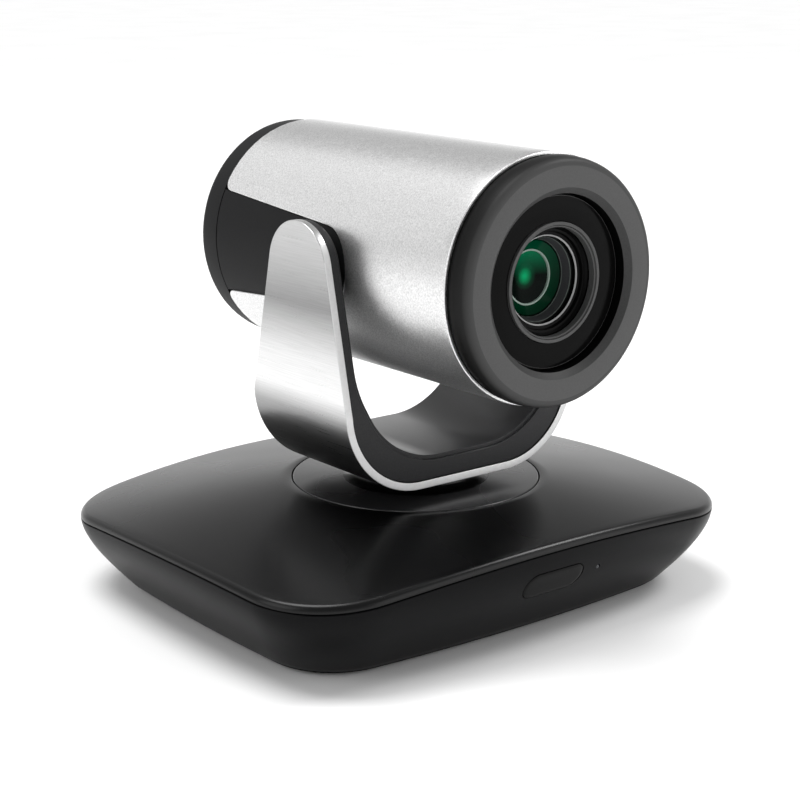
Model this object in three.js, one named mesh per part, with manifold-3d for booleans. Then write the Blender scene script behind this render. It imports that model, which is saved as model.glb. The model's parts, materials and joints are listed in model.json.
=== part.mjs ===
// Desk-top conference camera that pans, tilts and zooms.
// Units: millimetres. The origin is on the supporting surface under the middle of the base.
// +X is to the right seen from the front, the lens looks along -Y, and +Z is up.
import * as THREE from 'three';
import { mergeVertices } from 'three/addons/utils/BufferGeometryUtils.js';
import { ParametricGeometry } from 'three/addons/geometries/ParametricGeometry.js';
import Module from 'manifold-3d';

const wasm = await Module();
wasm.setup();

// ---- driving dimensions ------------------------------------------------------------------

const GAP = 0.3;              // between pieces that sit against each other

// base outlines: half sizes, radii of the bowed sides, radius of the corners
const RIM = { halfX: 75, halfY: 65.3, bowX: 420, bowY: 355, corner: 26 };
const FOOT = { halfX: 62.4, halfY: 50.5, bowX: 600, bowY: 500, corner: 18 };
const UNDERSIDE_Z = 0.8;
const WALL = 2.4;
const FLOOR_TOP_Z = UNDERSIDE_Z + 2.6;
const BULGE_POWER = 1.6;      // how quickly the base's side turns from upright to slanted
const OUTLINE_STEPS = 56;

// crown of the base: height falls with the distance from the pan axis
const PAN_Y = -8;
const DISC_Z = 31.5;
const DISC_R = 32.7;
const CROWN_SLOPE = 0.15;
const CROWN_CURVE = 0.00055;
const COVER_T = 2.4;
const RIM_ROUND = 1.4;        // width of the rounded rim of the cover
const RIM_DROP = 1.8;         // and its height

// turntable and pan drive
const NECK_R = 17.3;
const NECK_H = 3.2;
const HUB_R = 16;
const CABLE_R = 9;
const DISC_T = 3;
const BUSHING_T = 2.7;
const PAN_MODULE = 1.0;
const PAN_TEETH = 48;
const PINION_TEETH = 12;
const PAN_GEAR_T = 4;

// yoke
const YOKE_HALF = 37.7;
const BAND_T = 2.05;
const FRAME_HALF_IN = 32.5;
const YOKE_CORNER_R = 23.4;
const YOKE_INNER_CORNER_R = 25;
const YOKE_FLOOR_T = 8;
const YOKE_HEAD_R = 12.1;
const YOKE_DEPTH_HALF = 20.1;
const YOKE_TAPER_Z = 25.2;    // above the turntable, where the arms begin to narrow

// barrel, with its own frame on the tilt axis
const TILT_H = 59.5;          // tilt axis above the turntable's face
const FACE_Y = -55.4;
const RING_BACK_Y = -48.6;
const SHELL_REAR_Y = 48;
const CAP_REAR_Y = 57.2;
const SHELL_R = 30.6;
const SHELL_T = 1.6;
const HOUSING_R = SHELL_R - SHELL_T - GAP;
const HOUSING_T = 2.2;
const SPIGOT_R = HOUSING_R - HOUSING_T - GAP;
const RING_BACK_R = 30.2;
const RING_FACE_R = 28.9;
const FACE_HOLE_R = 22.9;
const PLATE_R = 20.8;
const PLATE_DEPTH = 3.5;
const LENS_PLATE_T = 1.5;
const TRIM_R = 14.5;
const TRIM_HOLE_R = 13.15;
const LENS_DEPTH = 10.4;
const LENS_R = 9.4;
const NOTCH_R = 10.2;           // rounded front end of the side notch, round the tilt axis
const NOTCH_REAR_HALF = 13.8;   // half width of the notch at the shell's rear edge

// tilt drive
const TRUNNION_R = 5;
const TILT_MODULE = 0.75;
const TILT_TEETH = 32;
const TILT_GEAR_X = 19.5;
const TILT_GEAR_T = 3;

// zoom lens
const TUBE_R = 18;
const TUBE_BORE_R = 15.5;
const TUBE_FRONT_Y = FACE_Y + 5.3;
const STOP_Y = FACE_Y + 21;   // rear face of the tube's thick front part
const TUBE_REAR_Y = 8;
const REAR_PLATE_T = 2;
const ROD_OFFSET = 12.8;
const ROD_R = 1;
const SCREW_R = 1.2;
const CELL_R = 10.2;
const ZOOM_Y = STOP_Y + 1.5;
const FOCUS_Y = -7;
const CELL_T = 6;

// remote-control window and status light
const WINDOW_Z = 16.8;
const WINDOW_HALF = 9.8;
const WINDOW_R = 3.7;
const LED_X = 15;
const LED_R = 0.7;

// connector panel
const PANEL_HALF = 41;
const PANEL_Z0 = 8.6;
const PANEL_Z1 = 17.6;
const PANEL_FACE_Y = 56.2;
const PANEL_RIM = 1.4;
const SOCKET_Z = (PANEL_Z0 + PANEL_Z1) / 2;

// ---- finishes ----------------------------------------------------------------------------

const FINISH = {
  blackShell: { color: 0x1a1a1b, roughness: 0.4, metalness: 0 },
  blackCover: { color: 0x0b0b0c, roughness: 0.3, metalness: 0 },
  darkPlastic: { color: 0x303030, roughness: 0.55, metalness: 0 },
  bezel: { color: 0x4c4c4c, roughness: 0.5, metalness: 0 },
  disc: { color: 0x454546, roughness: 0.45, metalness: 0 },
  gloss: { color: 0x141414, roughness: 0.12, metalness: 0 },
  silver: { color: 0xc4c4c4, roughness: 0.35, metalness: 0.8 },
  steel: { color: 0x9a9a9a, roughness: 0.4, metalness: 1 },
  blackSteel: { color: 0x1c1c1d, roughness: 0.5, metalness: 0.6 },
  brass: { color: 0xb08d4a, roughness: 0.35, metalness: 1 },
  rubber: { color: 0x202020, roughness: 0.9, metalness: 0 },
  glass: { color: 0x0a3a26, roughness: 0.05, metalness: 0 },
  board: { color: 0x1c4a2c, roughness: 0.6, metalness: 0 },
  gear: { color: 0xe6e2d6, roughness: 0.5, metalness: 0 },
  motor: { color: 0x6f7275, roughness: 0.4, metalness: 0.9 },
  light: { color: 0x3f6fd0, roughness: 0.3, metalness: 0 },
};

// ---- geometry helpers --------------------------------------------------------------------

// One closed body: shared vertices, no flat triangles, faces pointing out.
function closed(geometry) {
  geometry.deleteAttribute('normal');
  geometry.deleteAttribute('uv');
  const merged = mergeVertices(geometry, 1e-4);
  const source = merged.index.array;
  const kept = [];
  for (let i = 0; i < source.length; i += 3) {
    const [a, b, c] = [source[i], source[i + 1], source[i + 2]];
    if (a !== b && b !== c && c !== a) kept.push(a, b, c);
  }
  if (volume(merged.attributes.position, kept) < 0) kept.reverse();
  merged.setIndex(kept);
  return merged;
}

function volume(position, index) {
  const [a, b, c] = [new THREE.Vector3(), new THREE.Vector3(), new THREE.Vector3()];
  let sum = 0;
  for (let i = 0; i < index.length; i += 3) {
    a.fromBufferAttribute(position, index[i]);
    b.fromBufferAttribute(position, index[i + 1]);
    c.fromBufferAttribute(position, index[i + 2]);
    sum += a.dot(b.cross(c)) / 6;
  }
  return sum;
}

function toManifold(geometry) {
  const body = closed(geometry.clone());
  return new wasm.Manifold(new wasm.Mesh({
    numProp: 3,
    vertProperties: new Float32Array(body.attributes.position.array),
    triVerts: new Uint32Array(body.index.array),
  }));
}

function fromManifold(manifold) {
  const mesh = manifold.getMesh();
  const geometry = new THREE.BufferGeometry();
  geometry.setAttribute('position', new THREE.BufferAttribute(mesh.vertProperties, 3));
  geometry.setIndex(Array.from(mesh.triVerts));
  return geometry;
}

function cut(body, ...tools) {
  return fromManifold(tools.reduce((left, tool) => left.subtract(toManifold(tool)), toManifold(body)));
}

function join(body, ...others) {
  return fromManifold(others.reduce((sum, other) => sum.add(toManifold(other)), toManifold(body)));
}

function common(a, b) {
  return fromManifold(toManifold(a).intersect(toManifold(b)));
}

function extrude(shape, length, curveSegments) {
  return new THREE.ExtrudeGeometry(shape, { depth: length, bevelEnabled: false, curveSegments });
}

// A shape drawn in X and Y, from z0 up to z1.
function upward(shape, z0, z1, curveSegments = 12) {
  return extrude(shape, z1 - z0, curveSegments).translate(0, 0, z0);
}

// A shape drawn in X and Z, from y0 back to y1.
function frontal(shape, y0, y1, curveSegments = 12) {
  return extrude(shape, y1 - y0, curveSegments).rotateX(Math.PI / 2).translate(0, y1, 0);
}

// A shape drawn in Y and Z, from x0 to x1.
function sideways(shape, x0, x1, curveSegments = 12) {
  const turn = new THREE.Matrix4().makeBasis(
    new THREE.Vector3(0, 1, 0),
    new THREE.Vector3(0, 0, 1),
    new THREE.Vector3(1, 0, 0),
  );
  return extrude(shape, x1 - x0, curveSegments).applyMatrix4(turn).translate(x0, 0, 0);
}

function circleShape(radius, x = 0, y = 0) {
  const shape = new THREE.Shape();
  shape.absarc(x, y, radius, 0, 2 * Math.PI);
  return shape;
}

function rectShape(x0, y0, x1, y1) {
  return new THREE.Shape([
    new THREE.Vector2(x0, y0),
    new THREE.Vector2(x1, y0),
    new THREE.Vector2(x1, y1),
    new THREE.Vector2(x0, y1),
  ]);
}

// A slot with round ends, half as long as `half` on each side of its middle.
function pillShape(half, radius, x = 0, y = 0) {
  const shape = new THREE.Shape();
  shape.absarc(x + half - radius, y, radius, -Math.PI / 2, Math.PI / 2);
  shape.absarc(x - half + radius, y, radius, Math.PI / 2, 1.5 * Math.PI);
  return shape;
}

// A body turned about the Y axis from [radius, y] points; closed on itself unless it meets the axis.
function turned(points, segments = 40) {
  const profile = points.map(([radius, y]) => new THREE.Vector2(radius, y));
  const onAxis = points[0][0] === 0 && points[points.length - 1][0] === 0;
  if (!onAxis) profile.push(profile[0].clone());
  return new THREE.LatheGeometry(profile, segments);
}

// The same about the Z axis, from [radius, z] points.
function turnedUp(points, segments = 40) {
  return turned(points, segments).rotateX(Math.PI / 2);
}

// The same about the X axis, from [radius, x] points.
function turnedAcross(points, segments = 24) {
  return turned(points, segments).rotateZ(-Math.PI / 2);
}

function rod(radius, y0, y1, x, z, segments = 12) {
  return new THREE.CylinderGeometry(radius, radius, y1 - y0, segments).translate(x, (y0 + y1) / 2, z);
}

function post(radius, z0, z1, x, y, segments = 14) {
  const geometry = new THREE.CylinderGeometry(radius, radius, z1 - z0, segments);
  return geometry.rotateX(Math.PI / 2).translate(x, y, (z0 + z1) / 2);
}

function box(x0, y0, z0, x1, y1, z1) {
  const geometry = new THREE.BoxGeometry(x1 - x0, y1 - y0, z1 - z0);
  return geometry.translate((x0 + x1) / 2, (y0 + y1) / 2, (z0 + z1) / 2);
}

// Involute spur gear with a bore; `phase` turns its first tooth away from the first axis.
function gearShape(teeth, module, bore, phase = 0) {
  const PRESSURE = THREE.MathUtils.degToRad(25);
  const BACKLASH = 0.14;
  const pitch = (module * teeth) / 2;
  const base = pitch * Math.cos(PRESSURE);
  const tip = pitch + 0.8 * module;
  const root = pitch - 1.1 * module;
  const involute = (angle) => Math.tan(angle) - angle;
  const halfAngle = (r) => {
    const atPitch = Math.PI / (2 * teeth) - BACKLASH / (2 * pitch);
    return atPitch + involute(PRESSURE) - involute(Math.acos(Math.min(1, base / r)));
  };
  const flank = teeth > 20 ? [root, tip] : [Math.max(base, root), pitch, tip];
  const points = [];
  for (let i = 0; i < teeth; i += 1) {
    const middle = phase + (2 * Math.PI * i) / teeth;
    const left = [[root, halfAngle(flank[0])], ...flank.map((r) => [r, halfAngle(r)])];
    const right = [...left].reverse();
    for (const [r, half] of left) points.push([r, middle - half]);
    for (const [r, half] of right) points.push([r, middle + half]);
  }
  const corners = points.map(([r, angle]) => new THREE.Vector2(r * Math.cos(angle), r * Math.sin(angle)));
  const shape = new THREE.Shape(corners);
  if (bore > 0) shape.holes.push(circleShape(bore));
  return shape;
}

// ---- base outline and crown --------------------------------------------------------------

// Rounded rectangle whose sides are bowed outwards: eight arcs that meet smoothly.
function outlinePath({ halfX, halfY, bowX, bowY, corner }) {
  const sideX = halfX - bowX;               // centre of the right side's arc
  const sideY = halfY - bowY;               // centre of the rear side's arc
  let cornerX = halfX - corner;
  let cornerY = halfY - corner;
  for (let i = 0; i < 40; i += 1) {
    cornerX = sideX + Math.sqrt((bowX - corner) ** 2 - cornerY ** 2);
    cornerY = sideY + Math.sqrt((bowY - corner) ** 2 - cornerX ** 2);
  }
  const alpha = Math.atan2(cornerY, cornerX - sideX);
  const beta = Math.atan2(cornerY - sideY, cornerX);
  const path = new THREE.Path();
  path.absarc(sideX, 0, bowX, -alpha, alpha);
  path.absarc(cornerX, cornerY, corner, alpha, beta);
  path.absarc(0, sideY, bowY, beta, Math.PI - beta);
  path.absarc(-cornerX, cornerY, corner, Math.PI - beta, Math.PI - alpha);
  path.absarc(-sideX, 0, bowX, Math.PI - alpha, Math.PI + alpha);
  path.absarc(-cornerX, -cornerY, corner, Math.PI + alpha, Math.PI + beta);
  path.absarc(0, -sideY, bowY, Math.PI + beta, 2 * Math.PI - beta);
  path.absarc(cornerX, -cornerY, corner, 2 * Math.PI - beta, 2 * Math.PI - alpha);
  return path;
}

function insetOutline(outline, inset) {
  return {
    halfX: outline.halfX - inset,
    halfY: outline.halfY - inset,
    bowX: outline.bowX - inset,
    bowY: outline.bowY - inset,
    corner: outline.corner - inset,
  };
}

function outlinePoints(outline) {
  return outlinePath(outline).getSpacedPoints(OUTLINE_STEPS).slice(0, OUTLINE_STEPS);
}

// Outline of the base's side, from the underside (rise 0) to the rim (rise 1).
function sideOutline(rise, inset = 0) {
  const slant = (1 - rise) ** BULGE_POWER;
  const between = (key) => RIM[key] + (FOOT[key] - RIM[key]) * slant;
  const outline = {
    halfX: between('halfX'),
    halfY: between('halfY'),
    bowX: between('bowX'),
    bowY: between('bowY'),
    corner: between('corner'),
  };
  return insetOutline(outline, inset);
}

function crown(x, y) {
  const out = Math.hypot(x, y - PAN_Y) - DISC_R;
  return DISC_Z - CROWN_SLOPE * out - CROWN_CURVE * out * out;
}

// A closed body from rings of equally many points; `ends` closes the first and last ring
// onto their middles, otherwise the last ring joins the first.
function loft(rings, ends) {
  const last = rings[rings.length - 1];
  const rows = ends ? [middleOf(rings[0]), ...rings, middleOf(last)] : [...rings, rings[0]];
  const columns = rings[0].length;
  const surface = (u, v, target) => {
    const row = rows[Math.round(v * (rows.length - 1))];
    target.copy(row[Math.round(u * columns) % columns]);
  };
  return new ParametricGeometry(surface, columns, rows.length - 1);
}

function middleOf(ring) {
  const sum = ring.reduce((total, point) => total.add(point), new THREE.Vector3());
  return ring.map(() => sum.clone().divideScalar(ring.length));
}

// ---- base --------------------------------------------------------------------------------

// Rings of the base's side: at each rise the height lies between the underside and the rim,
// and the rim follows the crown.
function sideRing(rise, inset, floorZ = UNDERSIDE_Z, drop = RIM_DROP + GAP) {
  return outlinePoints(sideOutline(rise, inset)).map(({ x, y }) => {
    const rimZ = crown(x, y) - drop;
    return new THREE.Vector3(x, y, floorZ + (rimZ - floorZ) * rise);
  });
}

const RISES = [0, 0.14, 0.33, 0.6, 1];

function bowl(inset) {
  const rings = RISES.map((rise) => sideRing(rise, inset));
  return loft(rings, true);
}

function bowlShell() {
  const outer = RISES.map((rise) => sideRing(rise, 0));
  const inner = [1, 0.75, 0.4, 0].map((rise) => sideRing(rise, WALL, FLOOR_TOP_Z));
  return loft([...outer, ...inner], true);
}

const LEG_PLACES = {
  front_left: [-30, -36],
  front_right: [30, -36],
  rear_left: [-30, 29],
  rear_right: [30, 29],
};
const LEG_SPOTS = Object.values(LEG_PLACES);
const FOOT_PLACES = {
  front_left: [-46, -34],
  front_right: [46, -34],
  rear_left: [-46, 34],
  rear_right: [46, 34],
};
const FOOT_PAD_R = 6.5;
const BUSH_R = 6;
const BUSH_BORE_R = 3.25;
const CHASSIS_Z = 15.6;
const CHASSIS_T = 1.6;
const LEG_R = 3.2;
const PLATE_Z = FLOOR_TOP_Z + GAP;
const PLATE_T = 2.2;

function baseLowerShell() {
  const pocketTop = UNDERSIDE_Z + 1.4;
  const pockets = Object.values(FOOT_PLACES).map(([x, y]) => post(FOOT_PAD_R + GAP, 0, pocketTop, x, y));
  const screwHoles = LEG_SPOTS.flatMap(([x, y]) => [
    post(3.1, 0, UNDERSIDE_Z + 1.4, x, y, 10),
    post(1.8, 0, FLOOR_TOP_Z + 1, x, y, 8),
  ]);
  const window = frontal(pillShape(WINDOW_HALF, WINDOW_R, 0, WINDOW_Z), -70, -50);
  const light = rod(LED_R, -70, -50, LED_X, WINDOW_Z + 0.5, 12);
  const rear = box(-PANEL_HALF, 50, PANEL_Z0, PANEL_HALF, 70, PANEL_Z1);
  const bushHole = post(BUSH_R + GAP, 0, FLOOR_TOP_Z + 1, 0, PAN_Y, 24);
  return cut(bowlShell(), ...pockets, ...screwHoles, window, light, rear, bushHole);
}

// Point rings of the cover: `share` runs from the turntable's opening to the rim.
function coverRing(share, inset, drop) {
  return outlinePoints(insetOutline(RIM, inset)).map(({ x, y }) => {
    const angle = Math.atan2(y - PAN_Y, x);
    const holeX = (DISC_R + GAP) * Math.cos(angle);
    const holeY = PAN_Y + (DISC_R + GAP) * Math.sin(angle);
    const px = holeX + (x - holeX) * share;
    const py = holeY + (y - holeY) * share;
    return new THREE.Vector3(px, py, crown(px, py) - drop);
  });
}

function baseTopCover() {
  const lipOut = WALL + 1.1;
  const lipIn = lipOut + 1.3;
  const lipDrop = RIM_DROP + 2;
  return loft([
    coverRing(0, RIM_ROUND, 0),
    coverRing(0.5, RIM_ROUND, 0),
    coverRing(1, RIM_ROUND, 0),
    coverRing(1, 0.4, 0.6),
    coverRing(1, 0, RIM_DROP),
    coverRing(1, lipOut, RIM_DROP),
    coverRing(1, lipOut, lipDrop),
    coverRing(1, lipIn, lipDrop),
    coverRing(1, lipIn, COVER_T),
    coverRing(0, lipIn, COVER_T),
  ], false);
}

function weightPlate() {
  const plate = upward(rectShape(-50, -42, 50, 34), PLATE_Z, PLATE_Z + PLATE_T);
  const legHoles = LEG_SPOTS.map(([x, y]) => post(LEG_R + GAP, 0, 10, x, y));
  return cut(plate, ...legHoles, post(BUSH_R + GAP, 0, 10, 0, PAN_Y, 24));
}

// Blind bush, open at the underside, with a flange on the floor of the shell.
function tripodBush() {
  const top = 13;
  return turnedUp([
    [0, top],
    [BUSH_R, top],
    [BUSH_R, UNDERSIDE_Z + 0.1],
    [BUSH_BORE_R, UNDERSIDE_Z + 0.1],
    [BUSH_BORE_R, top - 2],
    [0, top - 2],
  ], 24).translate(0, PAN_Y, 0);
}

function footPad(x, y) {
  const profile = [[0, 0], [FOOT_PAD_R - 0.5, 0], [FOOT_PAD_R, 0.5], [FOOT_PAD_R, 1.9], [0, 1.9]];
  return turnedUp(profile, 16).translate(x, y, 0);
}

// Screw from below into a chassis leg, with a cross recess.
function baseScrew(x, y) {
  const profile = [[0, 1.1], [2.8, 1.1], [2.8, 2], [1.4, 2], [1.4, 11], [0, 11]];
  const slot = box(-1.6, -0.25, 0, 1.6, 0.25, 1.6);
  const crossSlot = slot.clone().rotateZ(Math.PI / 2);
  return cut(turnedUp(profile, 8), slot, crossSlot).translate(x, y, 0);
}

// Dark window flush with the curved wall.
function irWindow() {
  const plug = frontal(pillShape(WINDOW_HALF - 0.15, WINDOW_R - 0.15, 0, WINDOW_Z), -70, -58.2);
  return common(plug, bowl(0.1));
}

function statusLed() {
  return common(rod(LED_R - 0.1, -70, -57, LED_X, WINDOW_Z + 0.5, 12), bowl(0.1));
}

function irReceiver() {
  const lens = new THREE.SphereGeometry(2, 12, 8).translate(0, -56, WINDOW_Z);
  return join(box(-3, -56, WINDOW_Z - 3.4, 3, -53.1, WINDOW_Z + 3), lens);
}

function irBoard() {
  return box(-14, -52.8, WINDOW_Z - 5, 18, -51.6, WINDOW_Z + 4);
}

function mainBoard() {
  return box(-44, 37, SOCKET_Z - 5, 44, 50.5, SOCKET_Z - 3.4);
}

const SOCKETS = { power_jack: -28, control_port: -12, usb_port: 6, hdmi_port: 26 };

// Tray in the rear wall whose rim follows the wall's curve.
function connectorPanel() {
  const half = PANEL_HALF - GAP;
  const block = box(-half, PANEL_FACE_Y - 1.8, PANEL_Z0 + GAP, half, 70, PANEL_Z1 - GAP);
  const tray = common(block, bowl(0.2));
  const inner = PANEL_HALF - PANEL_RIM;
  const pocket = box(-inner, PANEL_FACE_Y, PANEL_Z0 + PANEL_RIM, inner, 72, PANEL_Z1 - PANEL_RIM);
  const squareHole = (x) => rectShape(x - 8, SOCKET_Z - 2.9, x + 8, SOCKET_Z + 2.9);
  const holes = Object.values(SOCKETS).map((x) => frontal(squareHole(x), 50, 62));
  holes[0] = rod(3.2, 50, 62, SOCKETS.power_jack, SOCKET_Z, 20);
  holes[1] = rod(2.8, 50, 62, SOCKETS.control_port, SOCKET_Z, 20);
  holes[2] = frontal(pillShape(4.9, 1.9, SOCKETS.usb_port, SOCKET_Z), 50, 62, 6);
  return cut(tray, pocket, ...holes);
}

function roundSocket(x, radius, bore, pin) {
  const front = PANEL_FACE_Y - GAP;
  const body = rod(radius - 0.2, 43, front, x, SOCKET_Z, 20);
  const hollow = cut(body, rod(bore, front - 9, 70, x, SOCKET_Z, 16));
  return pin > 0 ? join(hollow, rod(pin, front - 9.5, front - 1, x, SOCKET_Z, 10)) : hollow;
}

function flatSocket(outer, inner, tongue) {
  const front = PANEL_FACE_Y - GAP;
  const sleeve = cut(frontal(outer, 44, front, 6), frontal(inner, front - 7, 70, 6));
  return join(sleeve, frontal(tongue, 46, front - 1, 4));
}

function usbPort() {
  const x = SOCKETS.usb_port;
  return flatSocket(
    pillShape(4.6, 1.65, x, SOCKET_Z),
    pillShape(4.3, 1.35, x, SOCKET_Z),
    rectShape(x - 3.3, SOCKET_Z - 0.4, x + 3.3, SOCKET_Z + 0.4),
  );
}

function hdmiPort() {
  const x = SOCKETS.hdmi_port;
  const outline = (half, rise) => new THREE.Shape([
    new THREE.Vector2(x - half, SOCKET_Z + rise),
    new THREE.Vector2(x - half, SOCKET_Z - rise * 0.3),
    new THREE.Vector2(x - half + 2, SOCKET_Z - rise),
    new THREE.Vector2(x + half - 2, SOCKET_Z - rise),
    new THREE.Vector2(x + half, SOCKET_Z - rise * 0.3),
    new THREE.Vector2(x + half, SOCKET_Z + rise),
  ]);
  const tongue = rectShape(x - 5.5, SOCKET_Z - 0.5, x + 5.5, SOCKET_Z + 0.5);
  return flatSocket(outline(7.6, 2.7), outline(7.2, 2.3), tongue);
}

const PAN_GEAR_Z = DISC_Z - DISC_T - GAP - BUSHING_T - GAP - PAN_GEAR_T;
const PAN_MOTOR_Y = PAN_Y + (PAN_MODULE * (PAN_TEETH + PINION_TEETH)) / 2;
const MOTOR_R = 12;

function panChassis() {
  const plate = upward(rectShape(-36, -44, 36, 36), CHASSIS_Z, CHASSIS_Z + CHASSIS_T);
  const legs = LEG_SPOTS.map(([x, y]) => post(LEG_R, FLOOR_TOP_Z + GAP, CHASSIS_Z + 0.5, x, y));
  const screwBores = LEG_SPOTS.map(([x, y]) => post(1.8, 0, 12.5, x, y, 8));
  const posts = [[-24, -24], [24, -24], [-24, 24], [24, 24]].map(([x, y]) => (
    post(2.5, CHASSIS_Z, PAN_GEAR_Z + PAN_GEAR_T, x, PAN_Y + y, 12)
  ));
  const hubHole = post(HUB_R + 1, 0, CHASSIS_Z + 2 * CHASSIS_T, 0, PAN_Y, 32);
  const bossHole = post(4.3, 0, 40, 0, PAN_MOTOR_Y);
  return cut(join(plate, ...legs, ...posts), hubHole, bossHole, ...screwBores);
}

// Can, boss and hollow nose that the pinion's shaft turns in.
function panMotor() {
  const bottom = PLATE_Z + PLATE_T + GAP;
  const top = CHASSIS_Z - GAP;
  return turnedUp([
    [0, bottom],
    [MOTOR_R, bottom],
    [MOTOR_R, top],
    [4, top],
    [4, CHASSIS_Z + CHASSIS_T + 0.4],
    [1.6, CHASSIS_Z + CHASSIS_T + 0.4],
    [1.6, top - 3],
    [0, top - 3],
  ], 24).translate(0, PAN_MOTOR_Y, 0);
}

function panPinion() {
  const teeth = gearShape(PINION_TEETH, PAN_MODULE, 0, Math.PI / PINION_TEETH);
  const gear = upward(teeth, PAN_GEAR_Z, PAN_GEAR_Z + PAN_GEAR_T);
  const shaft = post(1.3, CHASSIS_Z - 2.5, PAN_GEAR_Z + 1, 0, 0, 12);
  return join(gear, shaft).translate(0, PAN_MOTOR_Y, 0);
}

// Fixed ring under the cover that carries the turntable.
function panBushing() {
  const top = DISC_Z - DISC_T - GAP;
  return turnedUp([
    [HUB_R + GAP, top],
    [HUB_R + GAP, top - BUSHING_T],
    [35, top - BUSHING_T],
    [35, top],
  ], 36).translate(0, PAN_Y, 0);
}

function baseGroup() {
  const group = new THREE.Group();
  group.add(
    piece('base_lower_shell', baseLowerShell(), FINISH.blackShell),
    piece('base_top_cover', baseTopCover(), FINISH.blackCover),
    piece('weight_plate', weightPlate(), FINISH.steel),
    piece('tripod_bush', tripodBush(), FINISH.brass),
    piece('ir_window', irWindow(), FINISH.gloss),
    piece('ir_receiver', irReceiver(), FINISH.gloss),
    piece('ir_board', irBoard(), FINISH.board),
    piece('status_led', statusLed(), FINISH.light),
    piece('main_board', mainBoard(), FINISH.board),
    piece('connector_panel', connectorPanel(), FINISH.darkPlastic),
    piece('power_jack', roundSocket(SOCKETS.power_jack, 3.1, 2.6, 0.9), FINISH.darkPlastic),
    piece('control_port', roundSocket(SOCKETS.control_port, 2.7, 1.8, 0), FINISH.darkPlastic),
    piece('usb_port', usbPort(), FINISH.steel),
    piece('hdmi_port', hdmiPort(), FINISH.steel),
    piece('pan_chassis', panChassis(), FINISH.steel),
    piece('pan_motor', panMotor(), FINISH.motor),
    piece('pan_pinion', panPinion(), FINISH.brass),
    piece('pan_bushing', panBushing(), FINISH.gear),
  );
  for (const [corner, [x, y]] of Object.entries(FOOT_PLACES)) {
    group.add(piece(`foot_${corner}`, footPad(x, y), FINISH.rubber));
  }
  for (const [corner, [x, y]] of Object.entries(LEG_PLACES)) {
    group.add(piece(`screw_${corner}`, baseScrew(x, y), FINISH.steel));
  }
  return group;
}

// ---- pan head: its frame is on the pan axis ----------------------------------------------

const YOKE_BOTTOM_Z = DISC_Z + NECK_H;
const TILT_Z = DISC_Z + TILT_H;

// Disc, neck with a hollow foot, and hub, with the cable way through the middle.
function turntable() {
  const hubBottom = PAN_GEAR_Z - 0.6;
  return turnedUp([
    [CABLE_R, hubBottom],
    [HUB_R, hubBottom],
    [HUB_R, DISC_Z - DISC_T],
    [DISC_R, DISC_Z - DISC_T],
    [DISC_R, DISC_Z - 0.4],
    [DISC_R - 0.4, DISC_Z],
    [NECK_R + 1.4, DISC_Z],
    [NECK_R, DISC_Z + 1.2],
    [NECK_R, YOKE_BOTTOM_Z - GAP],
    [CABLE_R, YOKE_BOTTOM_Z - GAP],
  ]);
}

function panGear() {
  return upward(gearShape(PAN_TEETH, PAN_MODULE, HUB_R + GAP), PAN_GEAR_Z, PAN_GEAR_Z + PAN_GEAR_T, 12);
}

// Front outline of one layer of the U: from the outer to the inner wall.
function yokeSection(outer, inner) {
  const top = TILT_Z + YOKE_HEAD_R + 5;
  const half = (wall, shape, start) => {
    const { x, z, r } = wall;
    if (start) shape.moveTo(x, top);
    shape.lineTo(x, z + r);
    shape.absarc(x - r, z + r, r, 0, -Math.PI / 2, true);
    shape.absarc(-x + r, z + r, r, -Math.PI / 2, -Math.PI, true);
    shape.lineTo(-x, top);
  };
  const shape = new THREE.Shape();
  half(outer, shape, true);
  const back = new THREE.Path();
  half(inner, back, true);
  const returning = back.getPoints(12).reverse();
  returning.forEach(({ x, y }) => shape.lineTo(x, y));
  shape.closePath();
  return shape;
}

// Side outline of the yoke: a round head on the tilt axis, widening to its full depth.
function yokeSide(inset) {
  const head = YOKE_HEAD_R - inset;
  const half = YOKE_DEPTH_HALF - inset;
  const taperZ = DISC_Z + YOKE_TAPER_Z;
  const reach = Math.hypot(half, TILT_Z - taperZ);
  const lean = Math.asin(head / reach) - Math.atan2(half, TILT_Z - taperZ);
  const shape = new THREE.Shape();
  shape.moveTo(-half, YOKE_BOTTOM_Z - 5);
  shape.lineTo(half, YOKE_BOTTOM_Z - 5);
  shape.lineTo(half, taperZ);
  shape.absarc(0, TILT_Z, head, -lean, Math.PI + lean);
  shape.lineTo(-half, taperZ);
  return shape;
}

const YOKE_WALLS = {
  outer: { x: YOKE_HALF, z: YOKE_BOTTOM_Z, r: YOKE_CORNER_R },
  seamOut: { x: YOKE_HALF - BAND_T, z: YOKE_BOTTOM_Z + BAND_T, r: YOKE_CORNER_R - BAND_T },
  seamIn: { x: YOKE_HALF - BAND_T - 0.2, z: YOKE_BOTTOM_Z + BAND_T + 0.2, r: YOKE_CORNER_R - BAND_T - 0.2 },
  inner: { x: FRAME_HALF_IN, z: YOKE_BOTTOM_Z + YOKE_FLOOR_T, r: YOKE_INNER_CORNER_R },
};

function yokeLayer(outer, inner, inset) {
  const depth = YOKE_DEPTH_HALF + 5;
  const section = frontal(yokeSection(outer, inner), -depth, depth, 10);
  return common(section, sideways(yokeSide(inset), -YOKE_HALF - 5, YOKE_HALF + 5, 10));
}

function yokeBand() {
  const layer = yokeLayer(YOKE_WALLS.outer, YOKE_WALLS.seamOut, 0);
  return cut(layer, post(CABLE_R, 0, YOKE_BOTTOM_Z + 5, 0, 0));
}

function yokeFrame() {
  const layer = yokeLayer(YOKE_WALLS.seamIn, YOKE_WALLS.inner, 0.3);
  const pivots = pivotHole(TRUNNION_R + 0.2).translate(0, 0, TILT_Z);
  return cut(layer, pivots, post(CABLE_R, 0, YOKE_BOTTOM_Z + 5, 0, 0));
}

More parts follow.
